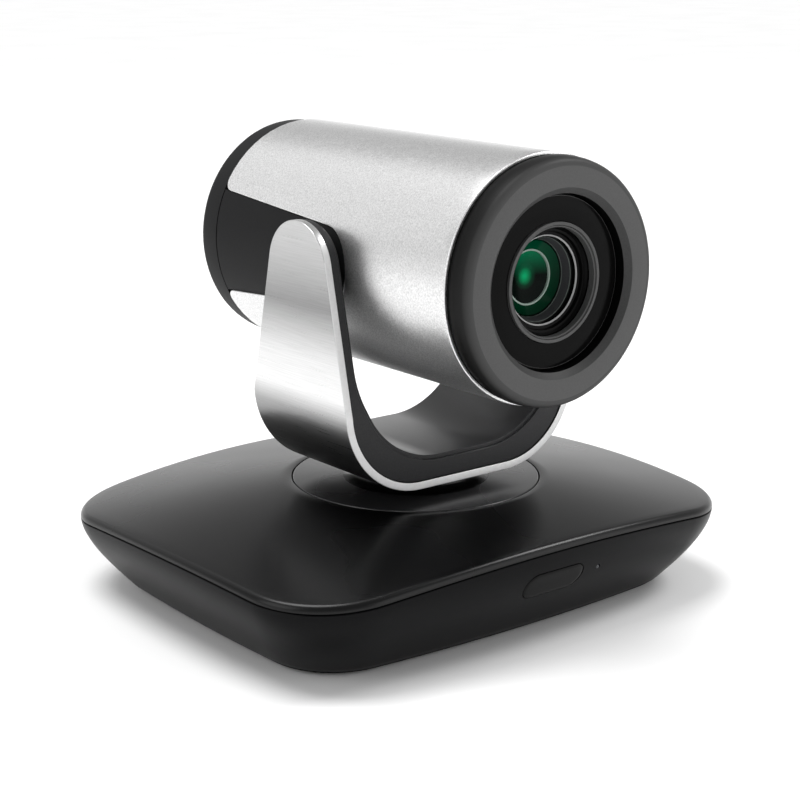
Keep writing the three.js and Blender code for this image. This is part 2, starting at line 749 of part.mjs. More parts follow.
// Pivot with a flange between the arm and the barrel; `inner` is how far it reaches in.
function trunnion(side, inner, stub) {
  const profile = [
    [0, YOKE_HALF - BAND_T - 0.5],
    [TRUNNION_R, YOKE_HALF - BAND_T - 0.5],
    [TRUNNION_R, FRAME_HALF_IN - GAP],
    [8, FRAME_HALF_IN - GAP],
    [8, SHELL_R + 0.5],
    [TRUNNION_R, SHELL_R + 0.5],
    [TRUNNION_R, inner],
    [2.2, inner],
    [2.2, inner - stub],
    [0, inner - stub],
  ];
  const geometry = turnedAcross(profile, 16).translate(0, 0, TILT_Z);
  return side < 0 ? geometry.scale(-1, 1, 1) : geometry;
}

function tiltGear() {
  const shape = gearShape(TILT_TEETH, TILT_MODULE, 2.4);
  return sideways(shape, TILT_GEAR_X, TILT_GEAR_X + TILT_GEAR_T, 8).translate(0, 0, TILT_Z);
}

function panHead() {
  const group = new THREE.Group();
  group.position.set(0, PAN_Y, 0);
  group.add(
    piece('turntable', turntable(), FINISH.disc),
    piece('pan_gear', panGear(), FINISH.gear),
    piece('yoke_frame', yokeFrame(), FINISH.darkPlastic),
    piece('yoke_band', yokeBand(), FINISH.silver),
    piece('trunnion_left', trunnion(-1, TILT_GEAR_X + TILT_GEAR_T + GAP, 1), FINISH.blackSteel),
    piece('trunnion_right', trunnion(1, TILT_GEAR_X + TILT_GEAR_T + GAP, TILT_GEAR_T + 1), FINISH.blackSteel),
    piece('tilt_gear', tiltGear(), FINISH.gear),
    barrelGroup(),
  );
  return group;
}

// ---- barrel: its frame is on the tilt axis -----------------------------------------------

// Side outline of the notch: a round end on the tilt axis, opening to the rear.
function notchShape(grow) {
  const radius = NOTCH_R + grow;
  const rear = SHELL_REAR_Y + 5;
  const slope = (NOTCH_REAR_HALF - NOTCH_R) / SHELL_REAR_Y;
  const lean = Math.atan(slope);
  const rearHalf = radius / Math.cos(lean) + slope * rear;
  const shape = new THREE.Shape();
  shape.moveTo(rear, rearHalf);
  shape.lineTo(-radius * Math.sin(lean), radius * Math.cos(lean));
  shape.absarc(0, 0, radius, Math.PI / 2 + lean, 1.5 * Math.PI - lean);
  shape.lineTo(rear, -rearHalf);
  return shape;
}

// Round bar across the whole width, to cut the trunnions' holes with.
function pivotHole(radius) {
  const half = YOKE_HALF + 5;
  return turnedAcross([[0, -half], [radius, -half], [radius, half], [0, half]]);
}

function barrelShell() {
  const sleeve = turned([
    [SHELL_R - SHELL_T, RING_BACK_Y + GAP],
    [SHELL_R - 0.3, RING_BACK_Y + GAP],
    [SHELL_R, RING_BACK_Y + GAP + 0.3],
    [SHELL_R, SHELL_REAR_Y - 0.4],
    [SHELL_R - 0.4, SHELL_REAR_Y],
    [SHELL_R - SHELL_T, SHELL_REAR_Y],
  ]);
  return cut(sleeve, sideways(notchShape(0), -60, 60, 16));
}

function sidePanel(side) {
  const sleeve = turned([
    [SHELL_R - SHELL_T, -25],
    [SHELL_R - 0.35, -25],
    [SHELL_R - 0.35, SHELL_REAR_Y],
    [SHELL_R - SHELL_T, SHELL_REAR_Y],
  ]);
  const reach = side < 0 ? [-60, 0] : [0, 60];
  return cut(common(sleeve, sideways(notchShape(-GAP), ...reach, 16)), pivotHole(TRUNNION_R + 0.6));
}

function barrelHousing() {
  const tube = turned([
    [HOUSING_R, RING_BACK_Y + GAP],
    [HOUSING_R, SHELL_REAR_Y - 1],
    [HOUSING_R - HOUSING_T, SHELL_REAR_Y - 1],
    [HOUSING_R - HOUSING_T, RING_BACK_Y + GAP],
  ]);
  return cut(tube, pivotHole(TRUNNION_R + 2.2));
}

function rearCap() {
  const front = SHELL_REAR_Y + GAP;
  const wall = 2.4;
  const lip = SPIGOT_R;
  return turned([
    [0, CAP_REAR_Y],
    [SHELL_R - 4.5, CAP_REAR_Y],
    [SHELL_R - 2.4, CAP_REAR_Y - 0.6],
    [SHELL_R - 1.2, CAP_REAR_Y - 2],
    [SHELL_R - 0.7, CAP_REAR_Y - 4],
    [SHELL_R - 0.6, front],
    [lip, front],
    [lip, front - 4],
    [lip - 1.6, front - 4],
    [lip - 1.6, CAP_REAR_Y - wall],
    [0, CAP_REAR_Y - wall],
  ]);
}

// Bezel: rounded outer edge, flat face, chamfer, a seat for the lens plate, and a spigot that
// goes into the housing.
function frontRing() {
  const seat = FACE_Y + PLATE_DEPTH + LENS_PLATE_T + GAP;
  return turned([
    [SPIGOT_R, RING_BACK_Y],
    [RING_BACK_R, RING_BACK_Y],
    [RING_BACK_R - 0.3, RING_BACK_Y - 3.4],
    [RING_FACE_R + 0.5, FACE_Y + 0.5],
    [RING_FACE_R, FACE_Y],
    [FACE_HOLE_R, FACE_Y],
    [PLATE_R + 0.5, FACE_Y + 1.4],
    [PLATE_R + 0.5, seat],
    [PLATE_R - 1.5, seat],
    [PLATE_R - 1.5, seat + 2],
    [SPIGOT_R - 1.8, seat + 2],
    [SPIGOT_R - 1.8, RING_BACK_Y + 4],
    [SPIGOT_R, RING_BACK_Y + 4],
  ]);
}

function lensPlate() {
  const front = FACE_Y + PLATE_DEPTH;
  return turned([
    [TRIM_R + 0.2, front],
    [PLATE_R - 0.3, front],
    [PLATE_R, front + 0.3],
    [PLATE_R, front + LENS_PLATE_T],
    [TRIM_R + 0.2, front + LENS_PLATE_T],
  ]);
}

function lensTrimRing() {
  const front = FACE_Y + PLATE_DEPTH - 0.3;
  return turned([
    [TRIM_HOLE_R + 0.5, front],
    [TRIM_R, front],
    [TRIM_R, front + 1.8],
    [TRIM_HOLE_R, front + 1.8],
  ], 40);
}

// Tube with a stepped throat in front, the bore of the sliding groups, and a rear plate.
function lensBarrel() {
  const throatRear = FACE_Y + LENS_DEPTH;
  const steps = 3;
  const throat = [];
  for (let i = 0; i <= steps; i += 1) {
    const radius = 13 - ((13 - LENS_R - 0.3) * i) / steps;
    const start = TUBE_FRONT_Y + ((throatRear - TUBE_FRONT_Y) * i) / (steps + 1);
    const end = TUBE_FRONT_Y + ((throatRear - TUBE_FRONT_Y) * (i + 1)) / (steps + 1);
    throat.push([radius, start], [radius, end]);
  }
  const tube = turned([
    [TUBE_R, TUBE_REAR_Y],
    [TUBE_R, TUBE_FRONT_Y],
    ...throat,
    [LENS_R + 0.3, throatRear + 5.5],
    [LENS_R - 1, throatRear + 5.5],
    [LENS_R - 1, STOP_Y],
    [TUBE_BORE_R, STOP_Y],
    [TUBE_BORE_R, TUBE_REAR_Y - REAR_PLATE_T],
    [5.5, TUBE_REAR_Y - REAR_PLATE_T],
    [5.5, TUBE_REAR_Y],
  ], 24);
  const screwHoles = [-1, 1].map((side) => rod(SCREW_R + GAP, 0, 20, 0, side * ROD_OFFSET));
  return cut(tube, ...screwHoles);
}

// Biconvex element of the given radius, its front face at y0.
function lens(radius, y0, thickness, bulge, steps = 2) {
  const points = [];
  for (let i = 0; i <= steps; i += 1) {
    const r = (radius * i) / steps;
    points.push([r, y0 + bulge * (r / radius) ** 2]);
  }
  for (let i = steps; i >= 0; i -= 1) {
    const r = (radius * i) / steps;
    points.push([r, y0 + thickness - bulge * 0.6 * (r / radius) ** 2]);
  }
  return turned(points, 12 * steps);
}

// Ring cell with two ears on the guide rods and a nut ear on its lead screw.
function lensCell(y0, nutSide) {
  const earTip = TUBE_BORE_R - 0.7;
  const [front, back] = [y0 + 1, y0 + CELL_T - 1];
  const ring = rod(CELL_R, y0, y0 + CELL_T, 0, 0, 24);
  const rodEars = box(-earTip, front, -1.9, earTip, back, 1.9);
  const nutEar = box(-2.4, front, 0, 2.4, back, earTip);
  if (nutSide < 0) nutEar.rotateY(Math.PI);
  const round = rod(earTip, y0, y0 + CELL_T, 0, 0, 24);
  const blank = common(join(ring, rodEars, nutEar), round);
  const [before, behind] = [y0 - 1, y0 + CELL_T + 1];
  return cut(
    blank,
    rod(7, before, behind, 0, 0, 24),
    rod(ROD_R + GAP, before, behind, -ROD_OFFSET, 0),
    rod(ROD_R + GAP, before, behind, ROD_OFFSET, 0),
    rod(SCREW_R + GAP, before, behind, 0, nutSide * ROD_OFFSET),
  );
}

function guideRod(side) {
  return rod(ROD_R, STOP_Y + GAP, TUBE_REAR_Y - REAR_PLATE_T - GAP, side * ROD_OFFSET, 0);
}

const MOTOR_FRONT_Y = TUBE_REAR_Y + GAP;

function leadScrew(y0, side) {
  return rod(SCREW_R, y0, MOTOR_FRONT_Y + 2, 0, side * ROD_OFFSET, 16);
}

// Small can with a hollow nose for its screw.
function screwMotor(side) {
  const can = rod(4, MOTOR_FRONT_Y, MOTOR_FRONT_Y + 8, 0, side * (ROD_OFFSET + 1.2), 20);
  return cut(can, rod(SCREW_R + GAP, 0, MOTOR_FRONT_Y + 3, 0, side * ROD_OFFSET));
}

function sensorBoard() {
  return box(-12, TUBE_REAR_Y + GAP, -8, 12, TUBE_REAR_Y + GAP + 1.2, 8);
}

function imageSensor() {
  return box(-4, TUBE_REAR_Y - 1, -3, 4, TUBE_REAR_Y + 0.1, 3);
}

function cameraBoard() {
  return turned([[0, 36], [24, 36], [24, 37.6], [0, 37.6]], 32);
}

const TILT_MOTOR_Y = (TILT_MODULE * (TILT_TEETH + PINION_TEETH)) / 2;

function tiltMotor() {
  const face = TILT_GEAR_X - 1.2;
  return turnedAcross([
    [0, face - 17],
    [6.5, face - 17],
    [6.5, face - 1.5],
    [2.6, face - 1.5],
    [2.6, face],
    [1.3, face],
    [1.3, face - 5],
    [0, face - 5],
  ]).translate(0, TILT_MOTOR_Y, 0);
}

function tiltPinion() {
  const teeth = gearShape(PINION_TEETH, TILT_MODULE, 0, Math.PI / PINION_TEETH);
  const gear = sideways(teeth, TILT_GEAR_X, TILT_GEAR_X + TILT_GEAR_T);
  const shaftStart = TILT_GEAR_X - 5.5;
  const shaftEnd = TILT_GEAR_X + 1;
  const shaft = turnedAcross([[0, shaftStart], [1, shaftStart], [1, shaftEnd], [0, shaftEnd]], 12);
  return join(gear, shaft).translate(0, TILT_MOTOR_Y, 0);
}

// Flanged ring in the housing's side, round the trunnion.
function tiltBearing(side) {
  const outer = HOUSING_R - 1.4;
  const geometry = turnedAcross([
    [TRUNNION_R + 0.25, outer],
    [TRUNNION_R + 0.25, TILT_GEAR_X + TILT_GEAR_T + GAP],
    [TRUNNION_R + 1.9, TILT_GEAR_X + TILT_GEAR_T + GAP],
    [TRUNNION_R + 1.9, outer],
  ]);
  return side < 0 ? geometry.scale(-1, 1, 1) : geometry;
}

function barrelGroup() {
  const group = new THREE.Group();
  group.position.set(0, 0, TILT_Z);
  group.add(
    piece('barrel_shell', barrelShell(), FINISH.silver),
    piece('barrel_housing', barrelHousing(), FINISH.darkPlastic),
    piece('side_panel_left', sidePanel(-1), FINISH.darkPlastic),
    piece('side_panel_right', sidePanel(1), FINISH.darkPlastic),
    piece('rear_cap', rearCap(), FINISH.darkPlastic),
    piece('front_ring', frontRing(), FINISH.bezel),
    piece('lens_plate', lensPlate(), FINISH.gloss),
    piece('lens_trim_ring', lensTrimRing(), FINISH.bezel),
    piece('lens_barrel', lensBarrel(), FINISH.blackShell),
    piece('front_lens', lens(LENS_R, FACE_Y + LENS_DEPTH - 1.2, 5.5, 1.6), FINISH.glass),
    piece('zoom_cell', lensCell(ZOOM_Y, 1), FINISH.darkPlastic),
    piece('zoom_lens', lens(6.8, ZOOM_Y + 0.5, 5, 1.2), FINISH.glass),
    piece('focus_cell', lensCell(FOCUS_Y, -1), FINISH.darkPlastic),
    piece('focus_lens', lens(6.8, FOCUS_Y + 0.5, 5, 1.2), FINISH.glass),
    piece('guide_rod_left', guideRod(-1), FINISH.steel),
    piece('guide_rod_right', guideRod(1), FINISH.steel),
    piece('zoom_screw', leadScrew(STOP_Y + GAP, 1), FINISH.steel),
    piece('focus_screw', leadScrew(FOCUS_Y - 8, -1), FINISH.steel),
    piece('zoom_motor', screwMotor(1), FINISH.motor),
    piece('focus_motor', screwMotor(-1), FINISH.motor),
    piece('sensor_board', sensorBoard(), FINISH.board),
    piece('image_sensor', imageSensor(), FINISH.gloss),
    piece('camera_board', cameraBoard(), FINISH.board),
    piece('tilt_motor', tiltMotor(), FINISH.motor),
    piece('tilt_pinion', tiltPinion(), FINISH.brass),
    piece('tilt_bearing_left', tiltBearing(-1), FINISH.gear),
    piece('tilt_bearing_right', tiltBearing(1), FINISH.gear),
  );
  return group;
}

// ---- assembly ----------------------------------------------------------------------------

function piece(name, geometry, finish) {
  const mesh = new THREE.Mesh(closed(geometry), new THREE.MeshStandardMaterial(finish));
  mesh.name = name;
  return mesh;
}

const camera = new THREE.Group();
camera.add(baseGroup(), panHead());

export default camera;
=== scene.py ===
"""Looks of the PTZ conference camera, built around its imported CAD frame.

Lengths in the shape code are millimetres; MM turns them into Blender's metres.
The lens looks along -Y, +X is to the right seen from the front, and the base stands on z = 0.
"""
import json
import math

import bmesh
import bpy
from mathutils import Matrix, Vector

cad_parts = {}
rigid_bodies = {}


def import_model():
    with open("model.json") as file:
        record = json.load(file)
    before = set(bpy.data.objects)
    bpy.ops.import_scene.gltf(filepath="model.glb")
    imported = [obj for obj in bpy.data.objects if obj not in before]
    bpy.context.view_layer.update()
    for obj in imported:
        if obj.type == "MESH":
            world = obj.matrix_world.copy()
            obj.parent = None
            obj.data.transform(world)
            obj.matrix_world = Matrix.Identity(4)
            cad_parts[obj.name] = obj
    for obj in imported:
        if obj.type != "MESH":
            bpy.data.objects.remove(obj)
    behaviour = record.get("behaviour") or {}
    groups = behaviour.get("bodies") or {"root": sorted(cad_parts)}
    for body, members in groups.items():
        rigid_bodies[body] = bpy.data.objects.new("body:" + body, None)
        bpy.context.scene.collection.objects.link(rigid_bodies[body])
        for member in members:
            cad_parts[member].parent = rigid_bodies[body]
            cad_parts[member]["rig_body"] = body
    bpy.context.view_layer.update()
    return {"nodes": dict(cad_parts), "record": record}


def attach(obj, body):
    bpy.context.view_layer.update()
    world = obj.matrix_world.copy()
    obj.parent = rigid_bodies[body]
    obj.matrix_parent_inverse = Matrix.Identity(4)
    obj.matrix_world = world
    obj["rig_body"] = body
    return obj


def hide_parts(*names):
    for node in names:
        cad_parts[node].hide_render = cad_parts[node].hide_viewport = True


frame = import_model()

MM = 0.001

# ---- driving dimensions, the CAD model's own ------------------------------------------------

GAP = 0.3
RIM = {"half_x": 75, "half_y": 65.3, "bow_x": 420, "bow_y": 355, "corner": 26}
FOOT = {"half_x": 62.4, "half_y": 50.5, "bow_x": 600, "bow_y": 500, "corner": 18}
UNDERSIDE_Z = 0.8
WALL = 2.4
FLOOR_TOP_Z = UNDERSIDE_Z + 2.6
BULGE_POWER = 1.6
PAN_Y = -8
DISC_Z = 31.5
DISC_R = 32.7
CROWN_SLOPE = 0.15
CROWN_CURVE = 0.00055
COVER_T = 2.4
RIM_ROUND = 1.4
RIM_DROP = 1.8
NECK_R = 17.3
NECK_H = 3.2
HUB_R = 16
CABLE_R = 9
DISC_T = 3
PAN_GEAR_T = 4
BUSHING_T = 2.7
YOKE_HALF = 37.7
BAND_T = 2.05
FRAME_HALF_IN = 32.5
YOKE_CORNER_R = 23.4
YOKE_INNER_CORNER_R = 25
YOKE_FLOOR_T = 8
YOKE_HEAD_R = 12.1
YOKE_DEPTH_HALF = 20.1
YOKE_TAPER_Z = DISC_Z + 25.2
YOKE_BOTTOM_Z = DISC_Z + NECK_H
TILT_Z = DISC_Z + 59.5
FACE_Y = -55.4
RING_BACK_Y = -48.6
SHELL_REAR_Y = 48
CAP_REAR_Y = 57.2
SHELL_R = 30.6
SHELL_T = 1.6
HOUSING_R = SHELL_R - SHELL_T - GAP
SPIGOT_R = HOUSING_R - 2.2 - GAP
RING_BACK_R = 30.2
RING_FACE_R = 28.9
FACE_HOLE_R = 22.9
PLATE_R = 20.8
PLATE_DEPTH = 3.5
LENS_PLATE_T = 1.5
TRIM_R = 14.5
TRIM_HOLE_R = 13.15
LENS_R = 9.4
NOTCH_R = 10.2
NOTCH_REAR_HALF = 13.8
TUBE_R = 18
TUBE_FRONT_Y = FACE_Y + 5.3
TUBE_REAR_Y = 8
WINDOW_Z = 16.8
WINDOW_HALF = 9.8
WINDOW_R = 3.7
LED_X = 15
LED_Z = WINDOW_Z + 0.5
LED_R = 0.7
PANEL_HALF = 41
PANEL_Z0 = 8.6
PANEL_Z1 = 17.6
PANEL_FACE_Y = 56.2
PANEL_RIM = 1.4
SOCKET_Z = (PANEL_Z0 + PANEL_Z1) / 2
THROUGH_FRONT = (-72, -50)              # reach along Y of tools that cut the front wall
THROUGH_REAR = (50, 72)
SOCKET_BORE = (50, 62)
POWER_X = -28
CONTROL_X = -12
USB_X = 6
HDMI_X = 26
FOOT_PAD_R = 6.5
SCREW_HEAD_HOLE_R = 3.1
SCREW_SHANK_HOLE_R = 1.8
POCKET_TOP_Z = UNDERSIDE_Z + 1.4        # top of the feet's and screw heads' pockets
BUSH_R = 6
BUSH_BORE_R = 3.25
FEET = {
    "foot_front_left": (-46, -34),
    "foot_front_right": (46, -34),
    "foot_rear_left": (-46, 34),
    "foot_rear_right": (46, 34),
}
SCREWS = {
    "screw_front_left": (-30, -36),
    "screw_front_right": (30, -36),
    "screw_rear_left": (-30, 29),
    "screw_rear_right": (30, 29),
}

BARREL = Vector((0, PAN_Y, TILT_Z))     # the tilt axis, which the barrel's profiles start from
PAN_AXIS = Vector((0, PAN_Y, 0))
ROUND_STEPS = 160
SHARP_DEG = 35                          # edges that bend by more than this stay sharp
NOISE_LOW = 0.3                         # most of a noise texture's values lie between these two
NOISE_HIGH = 0.7


# ---- materials --------------------------------------------------------------------------------


class Paint:
    """A procedural material: one Principled shader with noise on its colour, roughness and bump."""

    def __init__(self, name, rough=0.5, metallic=0.0, coat=0.0, coat_rough=0.05, specular=0.5):
        self.material = bpy.data.materials.new(name)
        self.material.use_nodes = True
        self.nodes = self.material.node_tree.nodes
        self.links = self.material.node_tree.links
        self.shader = self.nodes["Principled BSDF"]
        self.shader.inputs["Metallic"].default_value = metallic
        self.shader.inputs["Roughness"].default_value = rough
        self.shader.inputs["Coat Weight"].default_value = coat
        self.shader.inputs["Coat Roughness"].default_value = coat_rough
        self.shader.inputs["Specular IOR Level"].default_value = specular
        self.place = self.nodes.new("ShaderNodeTexCoord").outputs["Object"]
        self.bump_from = None

    def noise(self, per_mm, detail=2.0, stretch=(1, 1, 1)):
        """Noise with about per_mm cells to a millimetre, drawn out along an axis by a small stretch."""
        mapping = self.nodes.new("ShaderNodeMapping")
        mapping.inputs["Scale"].default_value = [s * per_mm / MM for s in stretch]
        self.links.new(self.place, mapping.inputs["Vector"])
        noise = self.nodes.new("ShaderNodeTexNoise")
        noise.inputs["Scale"].default_value = 1.0
        noise.inputs["Detail"].default_value = detail
        self.links.new(mapping.outputs["Vector"], noise.inputs["Vector"])
        return noise.outputs["Fac"]

    def ramp(self, value, *stops):
        """Colours at positions of a value; a stop is (position, colour)."""
        ramp = self.nodes.new("ShaderNodeValToRGB")
        elements = ramp.color_ramp.elements
        while len(elements) < len(stops):
            elements.new(0.5)
        for element, (position, colour) in zip(elements, stops):
            element.position = position
            element.color = rgba(colour)
        self.links.new(value, ramp.inputs["Fac"])
        return ramp.outputs["Color"]

    def spread(self, value, low, high):
        """Maps noise to values from low to high."""
        to = self.nodes.new("ShaderNodeMapRange")
        to.inputs["From Min"].default_value = NOISE_LOW
        to.inputs["From Max"].default_value = NOISE_HIGH
        to.inputs["To Min"].default_value = low
        to.inputs["To Max"].default_value = high
        self.links.new(value, to.inputs["Value"])
        return to.outputs["Result"]

    def colour(self, value, *stops):
        self.links.new(self.ramp(value, *stops), self.shader.inputs["Base Color"])

    def grained(self, noise, dark, light):
        """The two colours of a grain."""
        return self.ramp(noise, (NOISE_LOW, dark), (NOISE_HIGH, light))

    def mottled(self, noise, dark, light):
        """A grain as the shader's colour."""
        self.links.new(self.grained(noise, dark, light), self.shader.inputs["Base Color"])

    def along(self, axis, start_mm, end_mm):
        """0 at one place along an axis of the model and 1 at another."""
        apart = self.nodes.new("ShaderNodeSeparateXYZ")
        self.links.new(self.place, apart.inputs["Vector"])
        to = self.nodes.new("ShaderNodeMapRange")
        to.inputs["From Min"].default_value = start_mm * MM
        to.inputs["From Max"].default_value = end_mm * MM
        self.links.new(apart.outputs[axis], to.inputs["Value"])
        return to.outputs["Result"]

    def blended(self, blend, first, second):
        """Two colours put together, as the shader's colour."""
        mix = self.nodes.new("ShaderNodeMix")
        mix.data_type = "RGBA"
        mix.blend_type = blend
        mix.inputs["Factor"].default_value = 1.0
        self.links.new(first, mix.inputs["A"])
        self.links.new(second, mix.inputs["B"])
        self.links.new(mix.outputs["Result"], self.shader.inputs["Base Color"])

    def roughness(self, value, low, high):
        self.links.new(self.spread(value, low, high), self.shader.inputs["Roughness"])

    def bump(self, value, height_mm, strength=1.0):
        bump = self.nodes.new("ShaderNodeBump")
        bump.inputs["Distance"].default_value = height_mm * MM
        bump.inputs["Strength"].default_value = strength
        self.links.new(value, bump.inputs["Height"])
        if self.bump_from is not None:
            self.links.new(self.bump_from, bump.inputs["Normal"])
        self.bump_from = bump.outputs["Normal"]
        self.links.new(self.bump_from, self.shader.inputs["Normal"])


def rgba(colour):
    """Linear RGBA from a hex string such as '#1a1a1a'."""
    parts = [int(colour[i:i + 2], 16) / 255 for i in (1, 3, 5)]
    linear = [p / 12.92 if p <= 0.04045 else ((p + 0.055) / 1.055) ** 2.4 for p in parts]
    return (*linear, 1.0)


def moulded(name, dark, light, rough, grain_mm=0.008, specular=0.3):
    """Spark-eroded moulded plastic: a fine grain, with slow changes of sheen from handling."""
    paint = Paint(name, specular=specular)
    fine = paint.noise(2.4, 3)
    paint.mottled(fine, dark, light)
    paint.roughness(paint.noise(0.02, 2), rough - 0.02, rough + 0.03)
    paint.bump(fine, grain_mm, 0.5)
    return paint.material


def bezel_side():
    """Moulded side of the bezel with painted shade and light: black at the barrel, greyer towards its rounded
    front edge as a painted highlight.
    """
    paint = Paint("bezel_side", specular=0.08)
    fine = paint.noise(2.4, 3)
    # The forward ramp paints shade towards the barrel and a painted highlight towards the rounded front edge.
    forward = paint.along("Y", PAN_Y + RING_BACK_Y, PAN_Y + FACE_Y)
    paint.blended("ADD", paint.ramp(forward, (0.3, "#020202"), (0.72, "#1c1c1c"), (1.0, "#424242")),
                  paint.grained(fine, "#010101", "#050505"))
    paint.roughness(paint.noise(0.02, 2), 0.4, 0.45)
    paint.bump(fine, 0.008, 0.5)
    return paint.material


def polished(name, dark, light, rough, specular=0.2):
    """Polished plastic: nearly smooth, with faint dust and wipe marks in its roughness."""
    paint = Paint(name, specular=specular)
    paint.mottled(paint.noise(0.05, 2), dark, light)
    paint.roughness(paint.noise(0.3, 5, (1, 0.25, 1)), rough * 0.6, rough * 1.5)
    paint.bump(paint.noise(0.15, 2), 0.004, 0.4)
    return paint.material


def blasted_silver():
    """Silver metallic lacquer on the barrel: fine flakes over a faint grain round the barrel."""
    paint = Paint("silver_lacquer", metallic=0.95)
    flakes = paint.noise(2.6, 2)
    grain = paint.noise(1.3, 3, (0.35, 1, 0.35))
    paint.colour(flakes, (0.3, "#cacaca"), (0.5, "#dedede"), (0.7, "#f0f0f0"))
    paint.roughness(grain, 0.28, 0.34)
    paint.bump(grain, 0.0008, 0.4)
    return paint.material


def brushed(name, light, dark, stretch, rough=0.3, metallic=1.0, painted_light_tones=None):
    """Brushed metal: long fine scratches along one direction; any painted light tones, bands of painted shade
    and painted highlight, change with height.
    """
    paint = Paint(name, metallic=metallic)
    lines = paint.noise(4, 3, stretch)
    if painted_light_tones:
        # The height ramp paints shade and a highlight band onto the metal's grain.
        height = paint.along("Z", YOKE_BOTTOM_Z, TILT_Z + YOKE_HEAD_R)
        paint.blended("MULTIPLY", paint.grained(lines, dark, light), paint.ramp(height, *painted_light_tones))
    else:
        paint.mottled(lines, dark, light)
    paint.roughness(lines, rough - 0.03, rough + 0.04)
    paint.bump(lines, 0.002, 0.4)
    return paint.material


def machined(name, light, dark, rough=0.35):
    """Plain turned or pressed metal with faint cloudy wear."""
    paint = Paint(name, metallic=1.0)
    paint.mottled(paint.noise(0.2, 4), dark, light)
    paint.roughness(paint.noise(1.5, 3), rough - 0.08, rough + 0.1)
    paint.bump(paint.noise(2.0, 3), 0.006, 0.5)
    return paint.material


def circuit_board():
    """Green solder mask with copper pours that show through as lighter patches."""
    paint = Paint("solder_mask", coat=0.5, coat_rough=0.15)
    cells = paint.nodes.new("ShaderNodeTexVoronoi")
    cells.inputs["Scale"].default_value = 0.25 / MM
    cells.distance = "MANHATTAN"
    paint.links.new(paint.place, cells.inputs["Vector"])
    paint.colour(cells.outputs["Distance"], (0.2, "#123c22"), (0.5, "#1d5431"), (0.8, "#2a6a3e"))
    paint.roughness(paint.noise(0.5, 3), 0.35, 0.5)
    return paint.material


def rubber():
    paint = Paint("foot_rubber", specular=0.35)
    paint.mottled(paint.noise(0.4, 4), "#161616", "#262626")
    paint.roughness(paint.noise(0.6, 4), 0.72, 0.92)
    paint.bump(paint.noise(1.8, 3), 0.03, 0.6)
    return paint.material


def lens_coating(name, rough, painted_reflection_tint, *stops):
    """Coated glass: a painted reflection tint over its upper part, and tints from its middle, at 0, to its
    edge, at 1.
    """
    paint = Paint(name, specular=0.04)
    apart = paint.nodes.new("ShaderNodeVectorMath")
    apart.operation = "DISTANCE"
    flat = paint.nodes.new("ShaderNodeVectorMath")
    flat.operation = "MULTIPLY"
    flat.inputs[1].default_value = (1, 0, 1)
    paint.links.new(paint.place, flat.inputs[0])
    paint.links.new(flat.outputs["Vector"], apart.inputs[0])
    apart.inputs[1].default_value = (0, 0, BARREL.z * MM)
    scaled = paint.nodes.new("ShaderNodeMath")
    scaled.operation = "MULTIPLY"
    scaled.inputs[1].default_value = 1 / (LENS_R * MM)
    paint.links.new(apart.outputs["Value"], scaled.inputs[0])
    # The tint rising with height is a painted reflection on the upper part of the glass.
    height = paint.along("Z", BARREL.z, BARREL.z + LENS_R)
    paint.blended("ADD", paint.ramp(scaled.outputs["Value"], *stops),
                  paint.ramp(height, (0, "#000000"), (0.75, painted_reflection_tint)))
    paint.roughness(paint.noise(0.4, 2), rough * 0.8, rough * 1.2)
    return paint.material


def light_pipe():
    paint = Paint("light_pipe", rough=0.25, coat=0.4)
    paint.mottled(paint.noise(1.0, 1), "#12161b", "#1c232b")
    return paint.material


